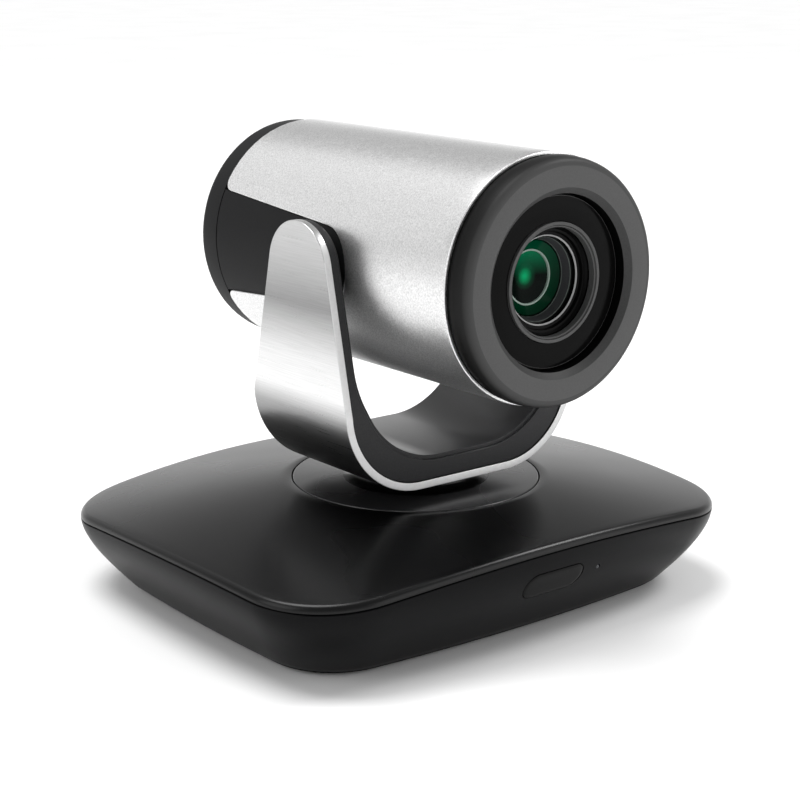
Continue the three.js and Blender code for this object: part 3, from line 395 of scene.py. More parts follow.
LOOKS = {
    "black_shell": moulded("black_shell", "#070708", "#0c0c0d", 0.3, specular=0.07),
    "black_cover": moulded("black_cover", "#020202", "#050506", 0.27, 0.003, 0.25),
    "dark_plastic": moulded("dark_plastic", "#131314", "#181819", 0.5, specular=0.1),
    "frame_face": moulded("frame_face", "#262627", "#2c2c2d", 0.45, specular=0.18),
    "bezel_grey": moulded("bezel_grey", "#464646", "#4b4b4b", 0.5, specular=0.2),
    "bezel_side": bezel_side(),
    "bezel_chamfer": moulded("bezel_chamfer", "#333333", "#393939", 0.5, specular=0.2),
    "disc_grey": moulded("disc_grey", "#1c1c1d", "#232324", 0.27, specular=0.5),
    "gloss_black": polished("gloss_black", "#080808", "#0c0c0c", 0.14, 0.04),
    "window_black": polished("window_black", "#040404", "#070707", 0.1, 0.08),
    "silver_paint": blasted_silver(),
    # The band's height tones are painted shade low down, a white painted highlight band across the middle,
    # and painted shade above it.
    "brushed_band": brushed("brushed_band", "#ebebeb", "#dddddd", (1, 0.02, 1),
                            painted_light_tones=((0.16, "#6a6a6a"), (0.3, "#b0b0b0"), (0.38, "#ffffff"),
                                   (0.5, "#f4f4f4"), (0.7, "#9c9c9c"), (1.0, "#e6e6e6"))),
    "band_edge": brushed("band_edge", "#d9d9d9", "#d2d2d2", (0.3, 1, 0.3), 0.45, 0.3),
    "steel": machined("plain_steel", "#b4b4b4", "#8e8e8e"),
    "black_steel": machined("black_oxide", "#242425", "#161617", 0.5),
    "brass": machined("turned_brass", "#c6a15a", "#9c7a3c", 0.3),
    "rubber": rubber(),
    # The coated glass's upper tint is a painted reflection.
    "coated_glass": lens_coating("coated_glass", 0.1, "#002416", (0.7, "#00301c"), (0.98, "#002213")),
    "board": circuit_board(),
    "white_plastic": moulded("acetal", "#d8d4c8", "#e8e4d9", 0.45),
    "motor_steel": machined("plated_can", "#8b8e91", "#6a6d70", 0.32),
    "indicator": light_pipe(),
    "throat_black": moulded("throat_black", "#030303", "#060606", 0.35, specular=0.06),
    # The deep element's bright green middle and its green upper tint are a painted reflection in the coating.
    "lens_deep": lens_coating("lens_deep", 0.25, "#006b45", (0.04, "#00a468"), (0.14, "#007a4a"),
                              (0.24, "#003420"), (0.36, "#000603"), (0.72, "#000a06")),
    "lens_ring": polished("lens_ring", "#7d8f86", "#93a49b", 0.25),
    "step_ring": polished("step_ring", "#8c8c8c", "#9c9c9c", 0.3),
    "throat_cone": moulded("throat_cone", "#333335", "#39393b", 0.45, specular=0.2),
    "fine_ring": polished("fine_ring", "#5c635f", "#69706c", 0.3),
    "frame_inner": moulded("frame_inner", "#2a2a2b", "#303031", 0.3, specular=0.55),
    "neck_black": polished("neck_black", "#050505", "#080808", 0.18, 0.4),
}


def bare_frame():
    """Gives each CAD node that stays visible the look of its record slot."""
    slot_of = {part["node"]: part["material_slot"] for part in frame["record"]["subparts"]}
    for name, node in frame["nodes"].items():
        node.data.materials.clear()
        node.data.materials.append(LOOKS[slot_of[name]])


# ---- mesh helpers -----------------------------------------------------------------------------


def build(name, points, faces, looks, look_of=None, sharp_deg=SHARP_DEG):
    """An object from points in mm and faces; look_of(face centre in mm, normal) picks one of the looks."""
    mesh = bpy.data.meshes.new(name)
    mesh.from_pydata([Vector(p) * MM for p in points], [], faces)
    work = bmesh.new()
    work.from_mesh(mesh)
    bmesh.ops.remove_doubles(work, verts=work.verts, dist=0.0005 * MM)
    bmesh.ops.dissolve_degenerate(work, edges=work.edges, dist=0.0005 * MM)
    bmesh.ops.recalc_face_normals(work, faces=work.faces)
    work.to_mesh(mesh)
    work.free()
    for look in looks:
        mesh.materials.append(LOOKS[look])
    if look_of:
        for polygon in mesh.polygons:
            polygon.material_index = look_of(polygon.center / MM, polygon.normal)
    mesh.shade_smooth()
    mesh.set_sharp_from_angle(angle=math.radians(sharp_deg))
    obj = bpy.data.objects.new(name, mesh)
    bpy.context.scene.collection.objects.link(obj)
    return obj


def stand_for(obj, node):
    """The piece takes the CAD node's place on its body, and the node is hidden."""
    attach(obj, frame["nodes"][node]["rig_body"])
    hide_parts(node)
    return obj


def strips(rows, count, closed):
    """Faces between rows of equally many points; closed joins the last row to the first."""
    faces = []
    for i in range(rows if closed else rows - 1):
        j = (i + 1) % rows
        for k in range(count):
            m = (k + 1) % count
            faces.append((i * count + k, i * count + m, j * count + m, j * count + k))
    return faces


def with_fillets(profile, steps=5):
    """Rounds a profile's corners: a point is (a, b) or (a, b, fillet radius)."""
    count = len(profile)
    rounded = []
    for i, point in enumerate(profile):
        here = Vector(point[:2])
        radius = point[2] if len(point) > 2 else 0
        if not radius:
            rounded.append(here)
            continue
        to_last = (Vector(profile[i - 1][:2]) - here).normalized()
        to_next = (Vector(profile[(i + 1) % count][:2]) - here).normalized()
        half = math.acos(max(-1, min(1, to_last.dot(to_next)))) / 2
        reach = radius / math.tan(half)
        centre = here + (to_last + to_next).normalized() * (radius / math.sin(half))
        start = here + to_last * reach - centre
        sweep = math.pi - 2 * half
        turn = math.copysign(1, start.x * to_next.y - start.y * to_next.x)
        for k in range(steps + 1):
            angle = turn * sweep * k / steps
            rounded.append(centre + Matrix.Rotation(angle, 2) @ start)
    return rounded


AXES = {
    "X": lambda r, a, along: Vector((along, r * math.sin(a), r * math.cos(a))),
    "Y": lambda r, a, along: Vector((r * math.sin(a), along, r * math.cos(a))),
    "Z": lambda r, a, along: Vector((r * math.cos(a), r * math.sin(a), along)),
}


def turned(name, profile, looks, axis="Y", centre=BARREL, steps=ROUND_STEPS, **rest):
    """A body of revolution from (radius, along, fillet) points, closed on itself or on its axis."""
    rim = with_fillets(profile)
    on_axis = rim[0].x == 0 and rim[-1].x == 0
    points = []
    for radius, along in rim:
        points += [centre + AXES[axis](radius, 2 * math.pi * k / steps, along) for k in range(steps)]
    return build(name, points, strips(len(rim), steps, not on_axis), looks, **rest)


def lofted(name, rings, looks, capped, **rest):
    """A body from closed rings of equally many points; capped ends are filled flat."""
    count = len(rings[0])
    points = [point for ring in rings for point in ring]
    faces = strips(len(rings), count, not capped)
    if capped:
        faces.append(tuple(range(count)))
        last = (len(rings) - 1) * count
        faces.append(tuple(range(last, last + count)))
    return build(name, points, faces, looks, **rest)


def extruded(name, outline, low, high, axis, looks, centre=Vector(), bevel=0.0, **rest):
    """A straight body with the outline's section; a bevel pulls in both ends' edges."""
    def place(a, b, along):
        if axis == "Y":
            return centre + Vector((a, along, b))
        if axis == "X":
            return centre + Vector((along, a, b))
        return centre + Vector((a, b, along))

    levels = [(low, 0), (high, 0)]
    if bevel:
        levels = [(low, bevel), (low + bevel, 0), (high - bevel, 0), (high, bevel)]
    rings = []
    for along, inset in levels:
        rings.append([place(a, b, along) for a, b in inset_points(outline, inset)])
    return lofted(name, rings, looks, True, **rest)


def inset_points(outline, inset):
    """The outline's points moved inwards along their normals."""
    if not inset:
        return outline
    count = len(outline)
    area = sum(outline[i - 1][0] * outline[i][1] - outline[i][0] * outline[i - 1][1] for i in range(count))
    side = 1 if area > 0 else -1
    moved = []
    for i in range(count):
        ahead = Vector(outline[(i + 1) % count]) - Vector(outline[i - 1])
        normal = Vector((-ahead.y, ahead.x)).normalized() * side
        moved.append(tuple(Vector(outline[i]) + normal * inset))
    return moved


def cutter(outline, low, high, axis="Y", look="black_shell", centre=Vector()):
    """A straight tool for carve()."""
    return extruded("tool", outline, low, high, axis, [look], centre)


def arc(x, z, radius, start_deg, sweep_deg, steps):
    """Points round an arc, with both its ends."""
    angles = [math.radians(start_deg + sweep_deg * k / steps) for k in range(steps + 1)]
    return [(x + radius * math.cos(angle), z + radius * math.sin(angle)) for angle in angles]


def pill(half, radius, x=0.0, z=0.0, steps=16):
    reach = half - radius
    return arc(x + reach, z, radius, -90, 180, steps) + arc(x - reach, z, radius, 90, 180, steps)


def rounded_box(x0, z0, x1, z1, radius, steps=5):
    corners = [(x1 - radius, z0 + radius, -90), (x1 - radius, z1 - radius, 0),
               (x0 + radius, z1 - radius, 90), (x0 + radius, z0 + radius, 180)]
    points = []
    for x, z, start in corners:
        points += arc(x, z, radius, start, 90, steps)
    return points


def circle(radius, x=0.0, z=0.0, steps=48):
    return [(x + radius * math.cos(2 * math.pi * k / steps), z + radius * math.sin(2 * math.pi * k / steps))
            for k in range(steps)]


def carve(obj, tools, operation="DIFFERENCE"):
    """Cuts the tools out of obj (or keeps what is common) and removes them."""
    for tool in tools:
        modifier = obj.modifiers.new("carve", "BOOLEAN")
        modifier.operation = operation
        modifier.object = tool
        modifier.solver = "EXACT"
    depsgraph = bpy.context.evaluated_depsgraph_get()
    mesh = bpy.data.meshes.new_from_object(obj.evaluated_get(depsgraph))
    obj.modifiers.clear()
    obj.data = mesh
    mesh.shade_smooth()
    mesh.set_sharp_from_angle(angle=math.radians(SHARP_DEG))
    for tool in tools:
        bpy.data.objects.remove(tool)
    return obj


# ---- base -------------------------------------------------------------------------------------


def outline_points(outline, inset=0.0, side_steps=20, corner_steps=14):
    """Rounded rectangle with bowed sides, as points round eight arcs."""
    half_x = outline["half_x"] - inset
    half_y = outline["half_y"] - inset
    bow_x = outline["bow_x"] - inset
    bow_y = outline["bow_y"] - inset
    corner = outline["corner"] - inset
    side_x = half_x - bow_x
    side_y = half_y - bow_y
    corner_x = half_x - corner
    corner_y = half_y - corner
    for _ in range(60):
        corner_x = side_x + math.sqrt((bow_x - corner) ** 2 - corner_y ** 2)
        corner_y = side_y + math.sqrt((bow_y - corner) ** 2 - corner_x ** 2)
    alpha = math.atan2(corner_y, corner_x - side_x)
    beta = math.atan2(corner_y - side_y, corner_x)
    turn = math.pi
    arcs = [
        (side_x, 0, bow_x, -alpha, alpha, side_steps),
        (corner_x, corner_y, corner, alpha, beta, corner_steps),
        (0, side_y, bow_y, beta, turn - beta, side_steps),
        (-corner_x, corner_y, corner, turn - beta, turn - alpha, corner_steps),
        (-side_x, 0, bow_x, turn - alpha, turn + alpha, side_steps),
        (-corner_x, -corner_y, corner, turn + alpha, turn + beta, corner_steps),
        (0, -side_y, bow_y, turn + beta, 2 * turn - beta, side_steps),
        (corner_x, -corner_y, corner, 2 * turn - beta, 2 * turn - alpha, corner_steps),
    ]
    points = []
    for x, y, radius, start, end, steps in arcs:
        for k in range(steps):
            angle = start + (end - start) * k / steps
            points.append((x + radius * math.cos(angle), y + radius * math.sin(angle)))
    return points


def crown(x, y):
    out = math.hypot(x, y - PAN_Y) - DISC_R
    return DISC_Z - CROWN_SLOPE * out - CROWN_CURVE * out * out


def side_ring(rise, inset=0.0, floor_z=UNDERSIDE_Z, drop=RIM_DROP + GAP):
    slant = (1 - rise) ** BULGE_POWER
    outline = {key: RIM[key] + (FOOT[key] - RIM[key]) * slant for key in RIM}
    ring = []
    for x, y in outline_points(outline, inset):
        rim_z = crown(x, y) - drop
        ring.append(Vector((x, y, floor_z + (rim_z - floor_z) * rise)))
    return ring


def cover_ring(share, inset, drop, opening=DISC_R + GAP):
    ring = []
    for x, y in outline_points(RIM, inset):
        angle = math.atan2(y - PAN_Y, x)
        hole_x = opening * math.cos(angle)
        hole_y = PAN_Y + opening * math.sin(angle)
        px = hole_x + (x - hole_x) * share
        py = hole_y + (y - hole_y) * share
        ring.append(Vector((px, py, crown(px, py) - drop)))
    return ring


def base_top_cover():
    rings = [cover_ring(0, RIM_ROUND, 0.35)]
    rings.append(cover_ring(0, RIM_ROUND, 0.1, DISC_R + GAP + 0.08))
    rings.append(cover_ring(0, RIM_ROUND, 0, DISC_R + GAP + 0.3))
    steps = 18
    for k in range(1, steps):
        rings.append(cover_ring(k / steps, RIM_ROUND, 0, DISC_R + GAP + 0.3))
    round_steps = 8
    for k in range(round_steps + 1):
        angle = math.pi / 2 * k / round_steps
        inset = RIM_ROUND * (1 - math.sin(angle))
        rings.append(cover_ring(1, inset, RIM_DROP * 0.85 * (1 - math.cos(angle))))
    rings.append(cover_ring(1, 0, RIM_DROP - 0.12))
    rings.append(cover_ring(1, 0.12, RIM_DROP))
    rings.append(cover_ring(1, WALL + 1.1, RIM_DROP))
    rings.append(cover_ring(1, WALL + 1.1, RIM_DROP + 2))
    rings.append(cover_ring(1, WALL + 2.4, RIM_DROP + 2))
    rings.append(cover_ring(1, WALL + 2.4, COVER_T))
    rings.append(cover_ring(0, WALL + 2.4, COVER_T))
    obj = lofted("cover", rings, ["black_cover"], False)
    return stand_for(obj, "base_top_cover")


def base_lower_shell():
    steps = 22
    outer = [side_ring(k / steps) for k in range(steps + 1)]
    outer[0] = side_ring(0, 0.5)
    outer.insert(1, [point + Vector((0, 0, 0.18)) for point in side_ring(0, 0.15)])
    outer.insert(2, [point + Vector((0, 0, 0.5)) for point in side_ring(0, 0)])
    outer[-1] = [point - Vector((0, 0, 0.15)) for point in side_ring(1, 0)]
    outer.append(side_ring(1, 0.12))
    inner = [side_ring(k / 6, WALL, FLOOR_TOP_Z) for k in range(6, -1, -1)]
    shell = lofted("lower_shell", outer + inner, ["black_shell"], True)
    tools = [
        cutter(pill(WINDOW_HALF, WINDOW_R, 0, WINDOW_Z), *THROUGH_FRONT),
        cutter(circle(LED_R, LED_X, LED_Z, 24), *THROUGH_FRONT),
        cutter(rounded_box(-PANEL_HALF, PANEL_Z0, PANEL_HALF, PANEL_Z1, 1.2), *THROUGH_REAR),
        cutter(circle(BUSH_R + GAP, 0, PAN_Y), -1, FLOOR_TOP_Z + 1, "Z"),
    ]
    for x, y in FEET.values():
        tools.append(cutter(circle(FOOT_PAD_R + GAP, x, y), -1, POCKET_TOP_Z, "Z"))
    for x, y in SCREWS.values():
        tools.append(cutter(circle(SCREW_HEAD_HOLE_R, x, y, 32), -1, POCKET_TOP_Z, "Z"))
        tools.append(cutter(circle(SCREW_SHANK_HOLE_R, x, y, 24), 0, FLOOR_TOP_Z + 1, "Z"))
    return stand_for(carve(shell, tools), "base_lower_shell")


def wall_y(x, z):
    """Y of the front wall's outer face at a place on it."""
    best = None
    for k in range(121):
        ring = side_ring(k / 120)
        point = min((p for p in ring if p.y < 0), key=lambda p: abs(p.x - x))
        if best is None or abs(point.z - z) < abs(best.z - z):
            best = point
    return best.y


def ir_window():
    """The window's face follows the wall: each point is set back to it by the wall's own slope."""
    low = wall_y(0, WINDOW_Z - WINDOW_R)
    high = wall_y(0, WINDOW_Z + WINDOW_R)
    slope = (high - low) / (2 * WINDOW_R)
    middle = wall_y(0, WINDOW_Z)

    def face_y(x, z, set_back):
        return middle + slope * (z - WINDOW_Z) + x * x / (2 * RIM["bow_y"]) + set_back

    edge = 0.35
    levels = [(edge + 5.0, 0.15), (edge, 0.15), (0.12, 0.25), (0.04, edge + 0.1), (0.02, 1.2), (0.02, 2.4)]
    rings = []
    for set_back, inset in levels:
        ring = pill(WINDOW_HALF - inset, WINDOW_R - inset, 0, WINDOW_Z)
        rings.append([Vector((x, face_y(x, z, set_back), z)) for x, z in ring])
    obj = lofted("ir_window_pane", rings, ["window_black"], True)
    return stand_for(obj, "ir_window")


def status_led():
    y = wall_y(LED_X, LED_Z)
    radius = LED_R - 0.1
    profile = [(0, y + 5), (radius, y + 5), (radius, y + 0.25, 0.15), (radius * 0.6, y + 0.12), (0, y + 0.08)]
    obj = turned("light_pipe", profile, ["indicator"], "Y", Vector((LED_X, 0, LED_Z)), 32)
    return stand_for(obj, "status_led")


def foot_pad(name, x, y):
    """Moulded foot with a rounded edge and three shallow grip rings."""
    profile = [(0, 1.9), (FOOT_PAD_R, 1.9), (FOOT_PAD_R, 0, 0.5)]
    for ring in (5.0, 3.4, 1.8):
        profile += [(ring, 0), (ring - 0.15, 0.25), (ring - 0.45, 0.25), (ring - 0.6, 0)]
    profile += [(0, 0)]
    obj = turned(name + "_pad", profile, ["rubber"], "Z", Vector((x, y, 0)), 64)
    return stand_for(obj, name)


def base_screw(name, x, y):
    """Screw with a cross recess in its head."""
    profile = [(0, 1.15), (1.6, 1.15), (2.8, 1.35, 0.25), (2.8, 2.0), (1.4, 2.0), (1.4, 11, 0.3), (0, 11)]
    screw = turned(name + "_head", profile, ["steel"], "Z", Vector((x, y, 0)), 40)
    slot = [(-1.6, -0.25), (1.6, -0.25), (1.6, 0.25), (-1.6, 0.25)]
    across = [(b, a) for a, b in slot]
    tools = [cutter(outline, 0, 1.75, "Z", "steel", Vector((x, y, 0))) for outline in (slot, across)]
    return stand_for(carve(screw, tools), name)


def tripod_bush():
    """Brass bush whose bore carries the thread's ridges."""
    top = 11.0
    mouth = UNDERSIDE_Z + 0.1
    pitch = 1.27
    profile = [(0, 13), (BUSH_R, 13, 0.3), (BUSH_R, mouth, 0.2), (BUSH_BORE_R + 0.5, mouth)]
    ridges = int((top - mouth - 0.6) / pitch)
    for k in range(ridges):
        z = mouth + 0.5 + k * pitch
        profile += [(BUSH_BORE_R, z), (BUSH_BORE_R + 0.35, z + pitch / 2)]
    profile += [(BUSH_BORE_R, top), (0, top)]
    obj = turned("tripod_socket", profile, ["brass"], "Z", PAN_AXIS, 72)
    return stand_for(obj, "tripod_bush")


def connector_panel():
    """Recessed tray; its rim is trimmed to just inside the wall."""
    outer = rounded_box(-PANEL_HALF + GAP, PANEL_Z0 + GAP, PANEL_HALF - GAP, PANEL_Z1 - GAP, 1.0)
    tray = extruded("socket_tray", outer, PANEL_FACE_Y - 1.8, 72, "Y", ["dark_plastic"])
    bowl = lofted("tool_bowl", [side_ring(k / 16, 0.25) for k in range(17)], ["dark_plastic"], True)
    tray = carve(tray, [bowl], "INTERSECT")
    inner = rounded_box(-PANEL_HALF + PANEL_RIM, PANEL_Z0 + PANEL_RIM, PANEL_HALF - PANEL_RIM,
                        PANEL_Z1 - PANEL_RIM, 0.8)
    holes = [
        circle(3.2, POWER_X, SOCKET_Z),
        circle(2.8, CONTROL_X, SOCKET_Z),
        pill(4.9, 1.9, USB_X, SOCKET_Z),
        rounded_box(HDMI_X - 8, SOCKET_Z - 2.9, HDMI_X + 8, SOCKET_Z + 2.9, 0.6),
    ]
    tools = [cutter(inner, PANEL_FACE_Y, 74, look="dark_plastic")]
    tools += [cutter(hole, *SOCKET_BORE, look="dark_plastic") for hole in holes]
    return stand_for(carve(tray, tools), "connector_panel")


def round_socket(node, x, radius, bore, pin):
    """Round socket; a pin radius of 0 leaves its bore empty."""
    front = PANEL_FACE_Y - GAP
    profile = [(0, 43), (radius - 0.2, 43, 0.2), (radius - 0.2, front, 0.15), (bore, front, 0.2),
               (bore, front - 9)]
    if pin:
        profile += [(pin, front - 9), (pin, front - 1, pin * 0.6), (0, front - 1)]
    else:
        profile += [(0, front - 9)]
    looks = ["dark_plastic", "steel"]

    def look_of(centre, _normal):
        near = math.hypot(centre.x - x, centre.z - SOCKET_Z) < bore - 0.1 and centre.y > front - 8.9
        return 1 if near and pin else 0

    obj = turned(node + "_body", profile, looks, "Y", Vector((x, 0, SOCKET_Z)), 64, look_of=look_of)
    return stand_for(obj, node)


def flat_socket(node, outer, inner, tongue):
    """Steel sleeve with a black tongue inside it."""
    front = PANEL_FACE_Y - GAP
    sleeve = extruded(node + "_sleeve", outer, 44, front, "Y", ["steel", "gloss_black"], bevel=0.12)
    sleeve = carve(sleeve, [cutter(inner, front - 7, 70, look="steel")])
    blade = extruded("tool_blade", tongue, 46, front - 1, "Y", ["gloss_black"], bevel=0.1)
    sleeve = carve(sleeve, [blade], "UNION")
    xs = [a for a, _ in tongue]
    zs = [b for _, b in tongue]
    for polygon in sleeve.data.polygons:
        centre = polygon.center / MM
        shallow = front - 6.9 < centre.y < front - 0.9
        inside = min(xs) - 0.05 < centre.x < max(xs) + 0.05 and min(zs) - 0.05 < centre.z < max(zs) + 0.05
        polygon.material_index = 1 if shallow and inside else 0
    return stand_for(sleeve, node)


def usb_port():
    tongue = rounded_box(USB_X - 3.3, SOCKET_Z - 0.4, USB_X + 3.3, SOCKET_Z + 0.4, 0.2)
    return flat_socket("usb_port", pill(4.6, 1.65, USB_X, SOCKET_Z), pill(4.3, 1.35, USB_X, SOCKET_Z), tongue)


def hdmi_port():
    def outline(half, rise):
        return [(HDMI_X - half, SOCKET_Z + rise), (HDMI_X - half, SOCKET_Z - rise * 0.3),
                (HDMI_X - half + 2, SOCKET_Z - rise), (HDMI_X + half - 2, SOCKET_Z - rise),
                (HDMI_X + half, SOCKET_Z - rise * 0.3), (HDMI_X + half, SOCKET_Z + rise)]

    tongue = rounded_box(HDMI_X - 5.5, SOCKET_Z - 0.5, HDMI_X + 5.5, SOCKET_Z + 0.5, 0.2)
    return flat_socket("hdmi_port", outline(7.6, 2.7), outline(7.2, 2.3), tongue)


# ---- pan head ---------------------------------------------------------------------------------


def turntable():
    """Disc, neck with a soft fillet at its foot, and hub."""
    gear_z = DISC_Z - DISC_T - GAP - BUSHING_T - GAP - PAN_GEAR_T
    hub_bottom = gear_z - 0.6
    profile = [
        (CABLE_R, hub_bottom),
        (HUB_R, hub_bottom, 0.3),
        (HUB_R, DISC_Z - DISC_T),
        (DISC_R, DISC_Z - DISC_T, 0.2),
        (DISC_R, DISC_Z, 0.3),
        (NECK_R + 2.2, DISC_Z),
        (NECK_R + 0.9, DISC_Z + 0.25),
        (NECK_R - 0.1, DISC_Z + 0.75),
        (NECK_R - 0.7, DISC_Z + 1.5),
        (NECK_R - 0.9, YOKE_BOTTOM_Z - GAP, 0.2),
        (CABLE_R, YOKE_BOTTOM_Z - GAP),
    ]

    def look_of(centre, _normal):
        return 1 if math.hypot(centre.x, centre.y - PAN_Y) < NECK_R + 2.2 and centre.z > DISC_Z + 0.05 else 0

    obj = turned("turntable_disc", profile, ["disc_grey", "neck_black"], "Z", PAN_AXIS, look_of=look_of)
    return stand_for(obj, "turntable")


class YokeWall:
    """One wall of the U seen from the front: half width, height of its floor, corner radius."""

    def __init__(self, half, floor_z, corner):
        self.half = half
        self.floor_z = floor_z
        self.corner = corner

    def inwards(self, depth):
        return YokeWall(self.half - depth, self.floor_z + depth, self.corner - depth)

    def x_at(self, z):
        centre_z = self.floor_z + self.corner
        if z >= centre_z:
            return self.half
        return self.half - self.corner + math.sqrt(self.corner ** 2 - (centre_z - z) ** 2)

    def low_part(self, steps):
        """Points (x, z) from the middle of the floor up the corner to where the arm begins to narrow."""
        flat = self.half - self.corner
        end = math.acos(max(-1, (self.floor_z + self.corner - YOKE_TAPER_Z) / self.corner))
        straight = 0.0
        if self.floor_z + self.corner < YOKE_TAPER_Z:
            end = math.pi / 2
            straight = YOKE_TAPER_Z - self.floor_z - self.corner
        length = flat + self.corner * end + straight
        points = []
        for k in range(steps):
            s = length * k / steps
            if s <= flat:
                points.append((s, self.floor_z))
            elif s <= flat + self.corner * end:
                angle = (s - flat) / self.corner
                points.append((flat + self.corner * math.sin(angle),
                               self.floor_z + self.corner * (1 - math.cos(angle))))
            else:
                points.append((self.half, YOKE_TAPER_Z - (length - s)))
        return points


def arm_outline(inset, taper_steps=22, head_steps=28):
    """Half depth and height of the arm's edge, from where it begins to narrow to the top of its head."""
    head = YOKE_HEAD_R - inset
    half = YOKE_DEPTH_HALF - inset
    rise = TILT_Z - YOKE_TAPER_Z
    reach = math.hypot(half, rise)
    lean = math.asin(head / reach) - math.atan2(half, rise)
    points = []
    tangent_half = head * math.cos(lean)
    tangent_z = TILT_Z - head * math.sin(lean)
    for k in range(taper_steps):
        share = k / taper_steps
        points.append((half + (tangent_half - half) * share,
                       YOKE_TAPER_Z + (tangent_z - YOKE_TAPER_Z) * share))
    for k in range(head_steps + 1):
        angle = -lean + (math.pi / 2 + lean) * k / head_steps
        points.append((head * math.cos(angle), TILT_Z + head * math.sin(angle)))
    return points


def yoke_rim(wall, inset, low_steps=44):
    """Points of one edge line on the front side, from the middle of the floor to the arm's top."""
    depth = YOKE_DEPTH_HALF - inset
    line = [Vector((x, -depth, z)) for x, z in wall.low_part(low_steps)]
    line += [Vector((wall.x_at(z), -half, z)) for half, z in arm_outline(inset)]
    return line


def rounded_rim(wall, inset, edge, leaving=False):
    """Sections round a wall's edge, from the wall to the side face or, leaving, from the face to the wall."""
    rounding = 4
    sections = []
    for k in range(rounding + 1):
        angle = math.pi / 2 * k / rounding
        if leaving:
            pulled = (-edge * (1 - math.sin(angle)), inset + edge * (1 - math.cos(angle)))
        else:
            pulled = (edge * (1 - math.cos(angle)), inset + edge * (1 - math.sin(angle)))
        sections.append((wall.inwards(pulled[0]), pulled[1]))
    return sections


def yoke_layer(name, sections, looks, look_of=None):
    """A layer of the U through (wall, inset of its outline) sections, as one closed mesh."""
    lines = [yoke_rim(wall, pulled) for wall, pulled in sections]
    points = []
    rows = []
    for line in lines:
        rows.append(len(points))
        points += line
    length = len(lines[0])
    back = len(points)
    points += [Vector((p.x, -p.y, p.z)) for p in points]
    faces = []
    for start in (0, back):
        for a, b in zip(rows, rows[1:]):
            for i in range(length - 1):
                faces.append((start + a + i, start + a + i + 1, start + b + i + 1, start + b + i))
    for row in (rows[0], rows[-1]):
        for i in range(length - 1):
            faces.append((row + i, row + i + 1, back + row + i + 1, back + row + i))
    half_count = len(points)
    points += [Vector((-p.x, p.y, p.z)) for p in points]
    faces += [tuple(half_count + index for index in face) for face in faces]
    axis_moved = [Vector((p.x, p.y + PAN_Y, p.z)) for p in points]
    return build(name, axis_moved, faces, looks, look_of)


OUTER_WALL = YokeWall(YOKE_HALF, YOKE_BOTTOM_Z, YOKE_CORNER_R)
SEAM_WALL = OUTER_WALL.inwards(BAND_T)
FRAME_WALL = OUTER_WALL.inwards(BAND_T + 0.2)
INNER_WALL = YokeWall(FRAME_HALF_IN, YOKE_BOTTOM_Z + YOKE_FLOOR_T, YOKE_INNER_CORNER_R)


def yoke_band():
    def look_of(_centre, normal):
        return 1 if abs(normal.y) > 0.8 else 0

    sections = rounded_rim(OUTER_WALL, 0, 0.3) + rounded_rim(SEAM_WALL, 0, 0.15, True)
    obj = yoke_layer("outer_band", sections, ["brushed_band", "band_edge"], look_of)
    return stand_for(obj, "yoke_band")


def yoke_frame():
    """Frame inside the band; a narrow rabbet runs along the edge of its inner surface."""
    face = 0.3
    groove = face + 0.7
    sections = rounded_rim(FRAME_WALL, face, 0.15)
    sections += [
        (INNER_WALL.inwards(-1.1), face),
        (INNER_WALL.inwards(-1.0), face + 0.1),
        (INNER_WALL.inwards(-1.0), groove),
        (INNER_WALL.inwards(-0.35), groove),
        *rounded_rim(INNER_WALL, groove, 0.25, True),
    ]

    def look_of(centre, normal):
        inside = centre.z > INNER_WALL.floor_z - 0.35 and abs(normal.y) < 0.5
        return 1 if inside and abs(centre.x) < FRAME_HALF_IN + 0.35 else 0

    obj = yoke_layer("inner_frame", sections, ["frame_face", "frame_inner"], look_of)
    return stand_for(obj, "yoke_frame")


def trunnion(node, side):
    """Pivot with a flange between the arm and the barrel."""
    inner = 22.8
    profile = [
        (0, YOKE_HALF - BAND_T - 0.5),
        (5, YOKE_HALF - BAND_T - 0.5, 0.3),
        (5, FRAME_HALF_IN - GAP),
        (8, FRAME_HALF_IN - GAP, 0.3),
        (8, SHELL_R + 0.5, 0.3),
        (5, SHELL_R + 0.5),
        (5, inner, 0.4),
        (0, inner),
    ]
    flipped = [(point[0], point[1] * side, *point[2:]) for point in profile]
    obj = turned(node + "_pin", flipped, ["black_steel"], "X", BARREL, 72)
    return stand_for(obj, node)


# ---- barrel -----------------------------------------------------------------------------------


NOTCH_SLOPE = (NOTCH_REAR_HALF - NOTCH_R) / SHELL_REAR_Y
NOTCH_LEAN = math.atan(NOTCH_SLOPE)


def notch_half(y):
    """Half height of the side notch behind its round front end."""
    return NOTCH_R / math.cos(NOTCH_LEAN) + NOTCH_SLOPE * y


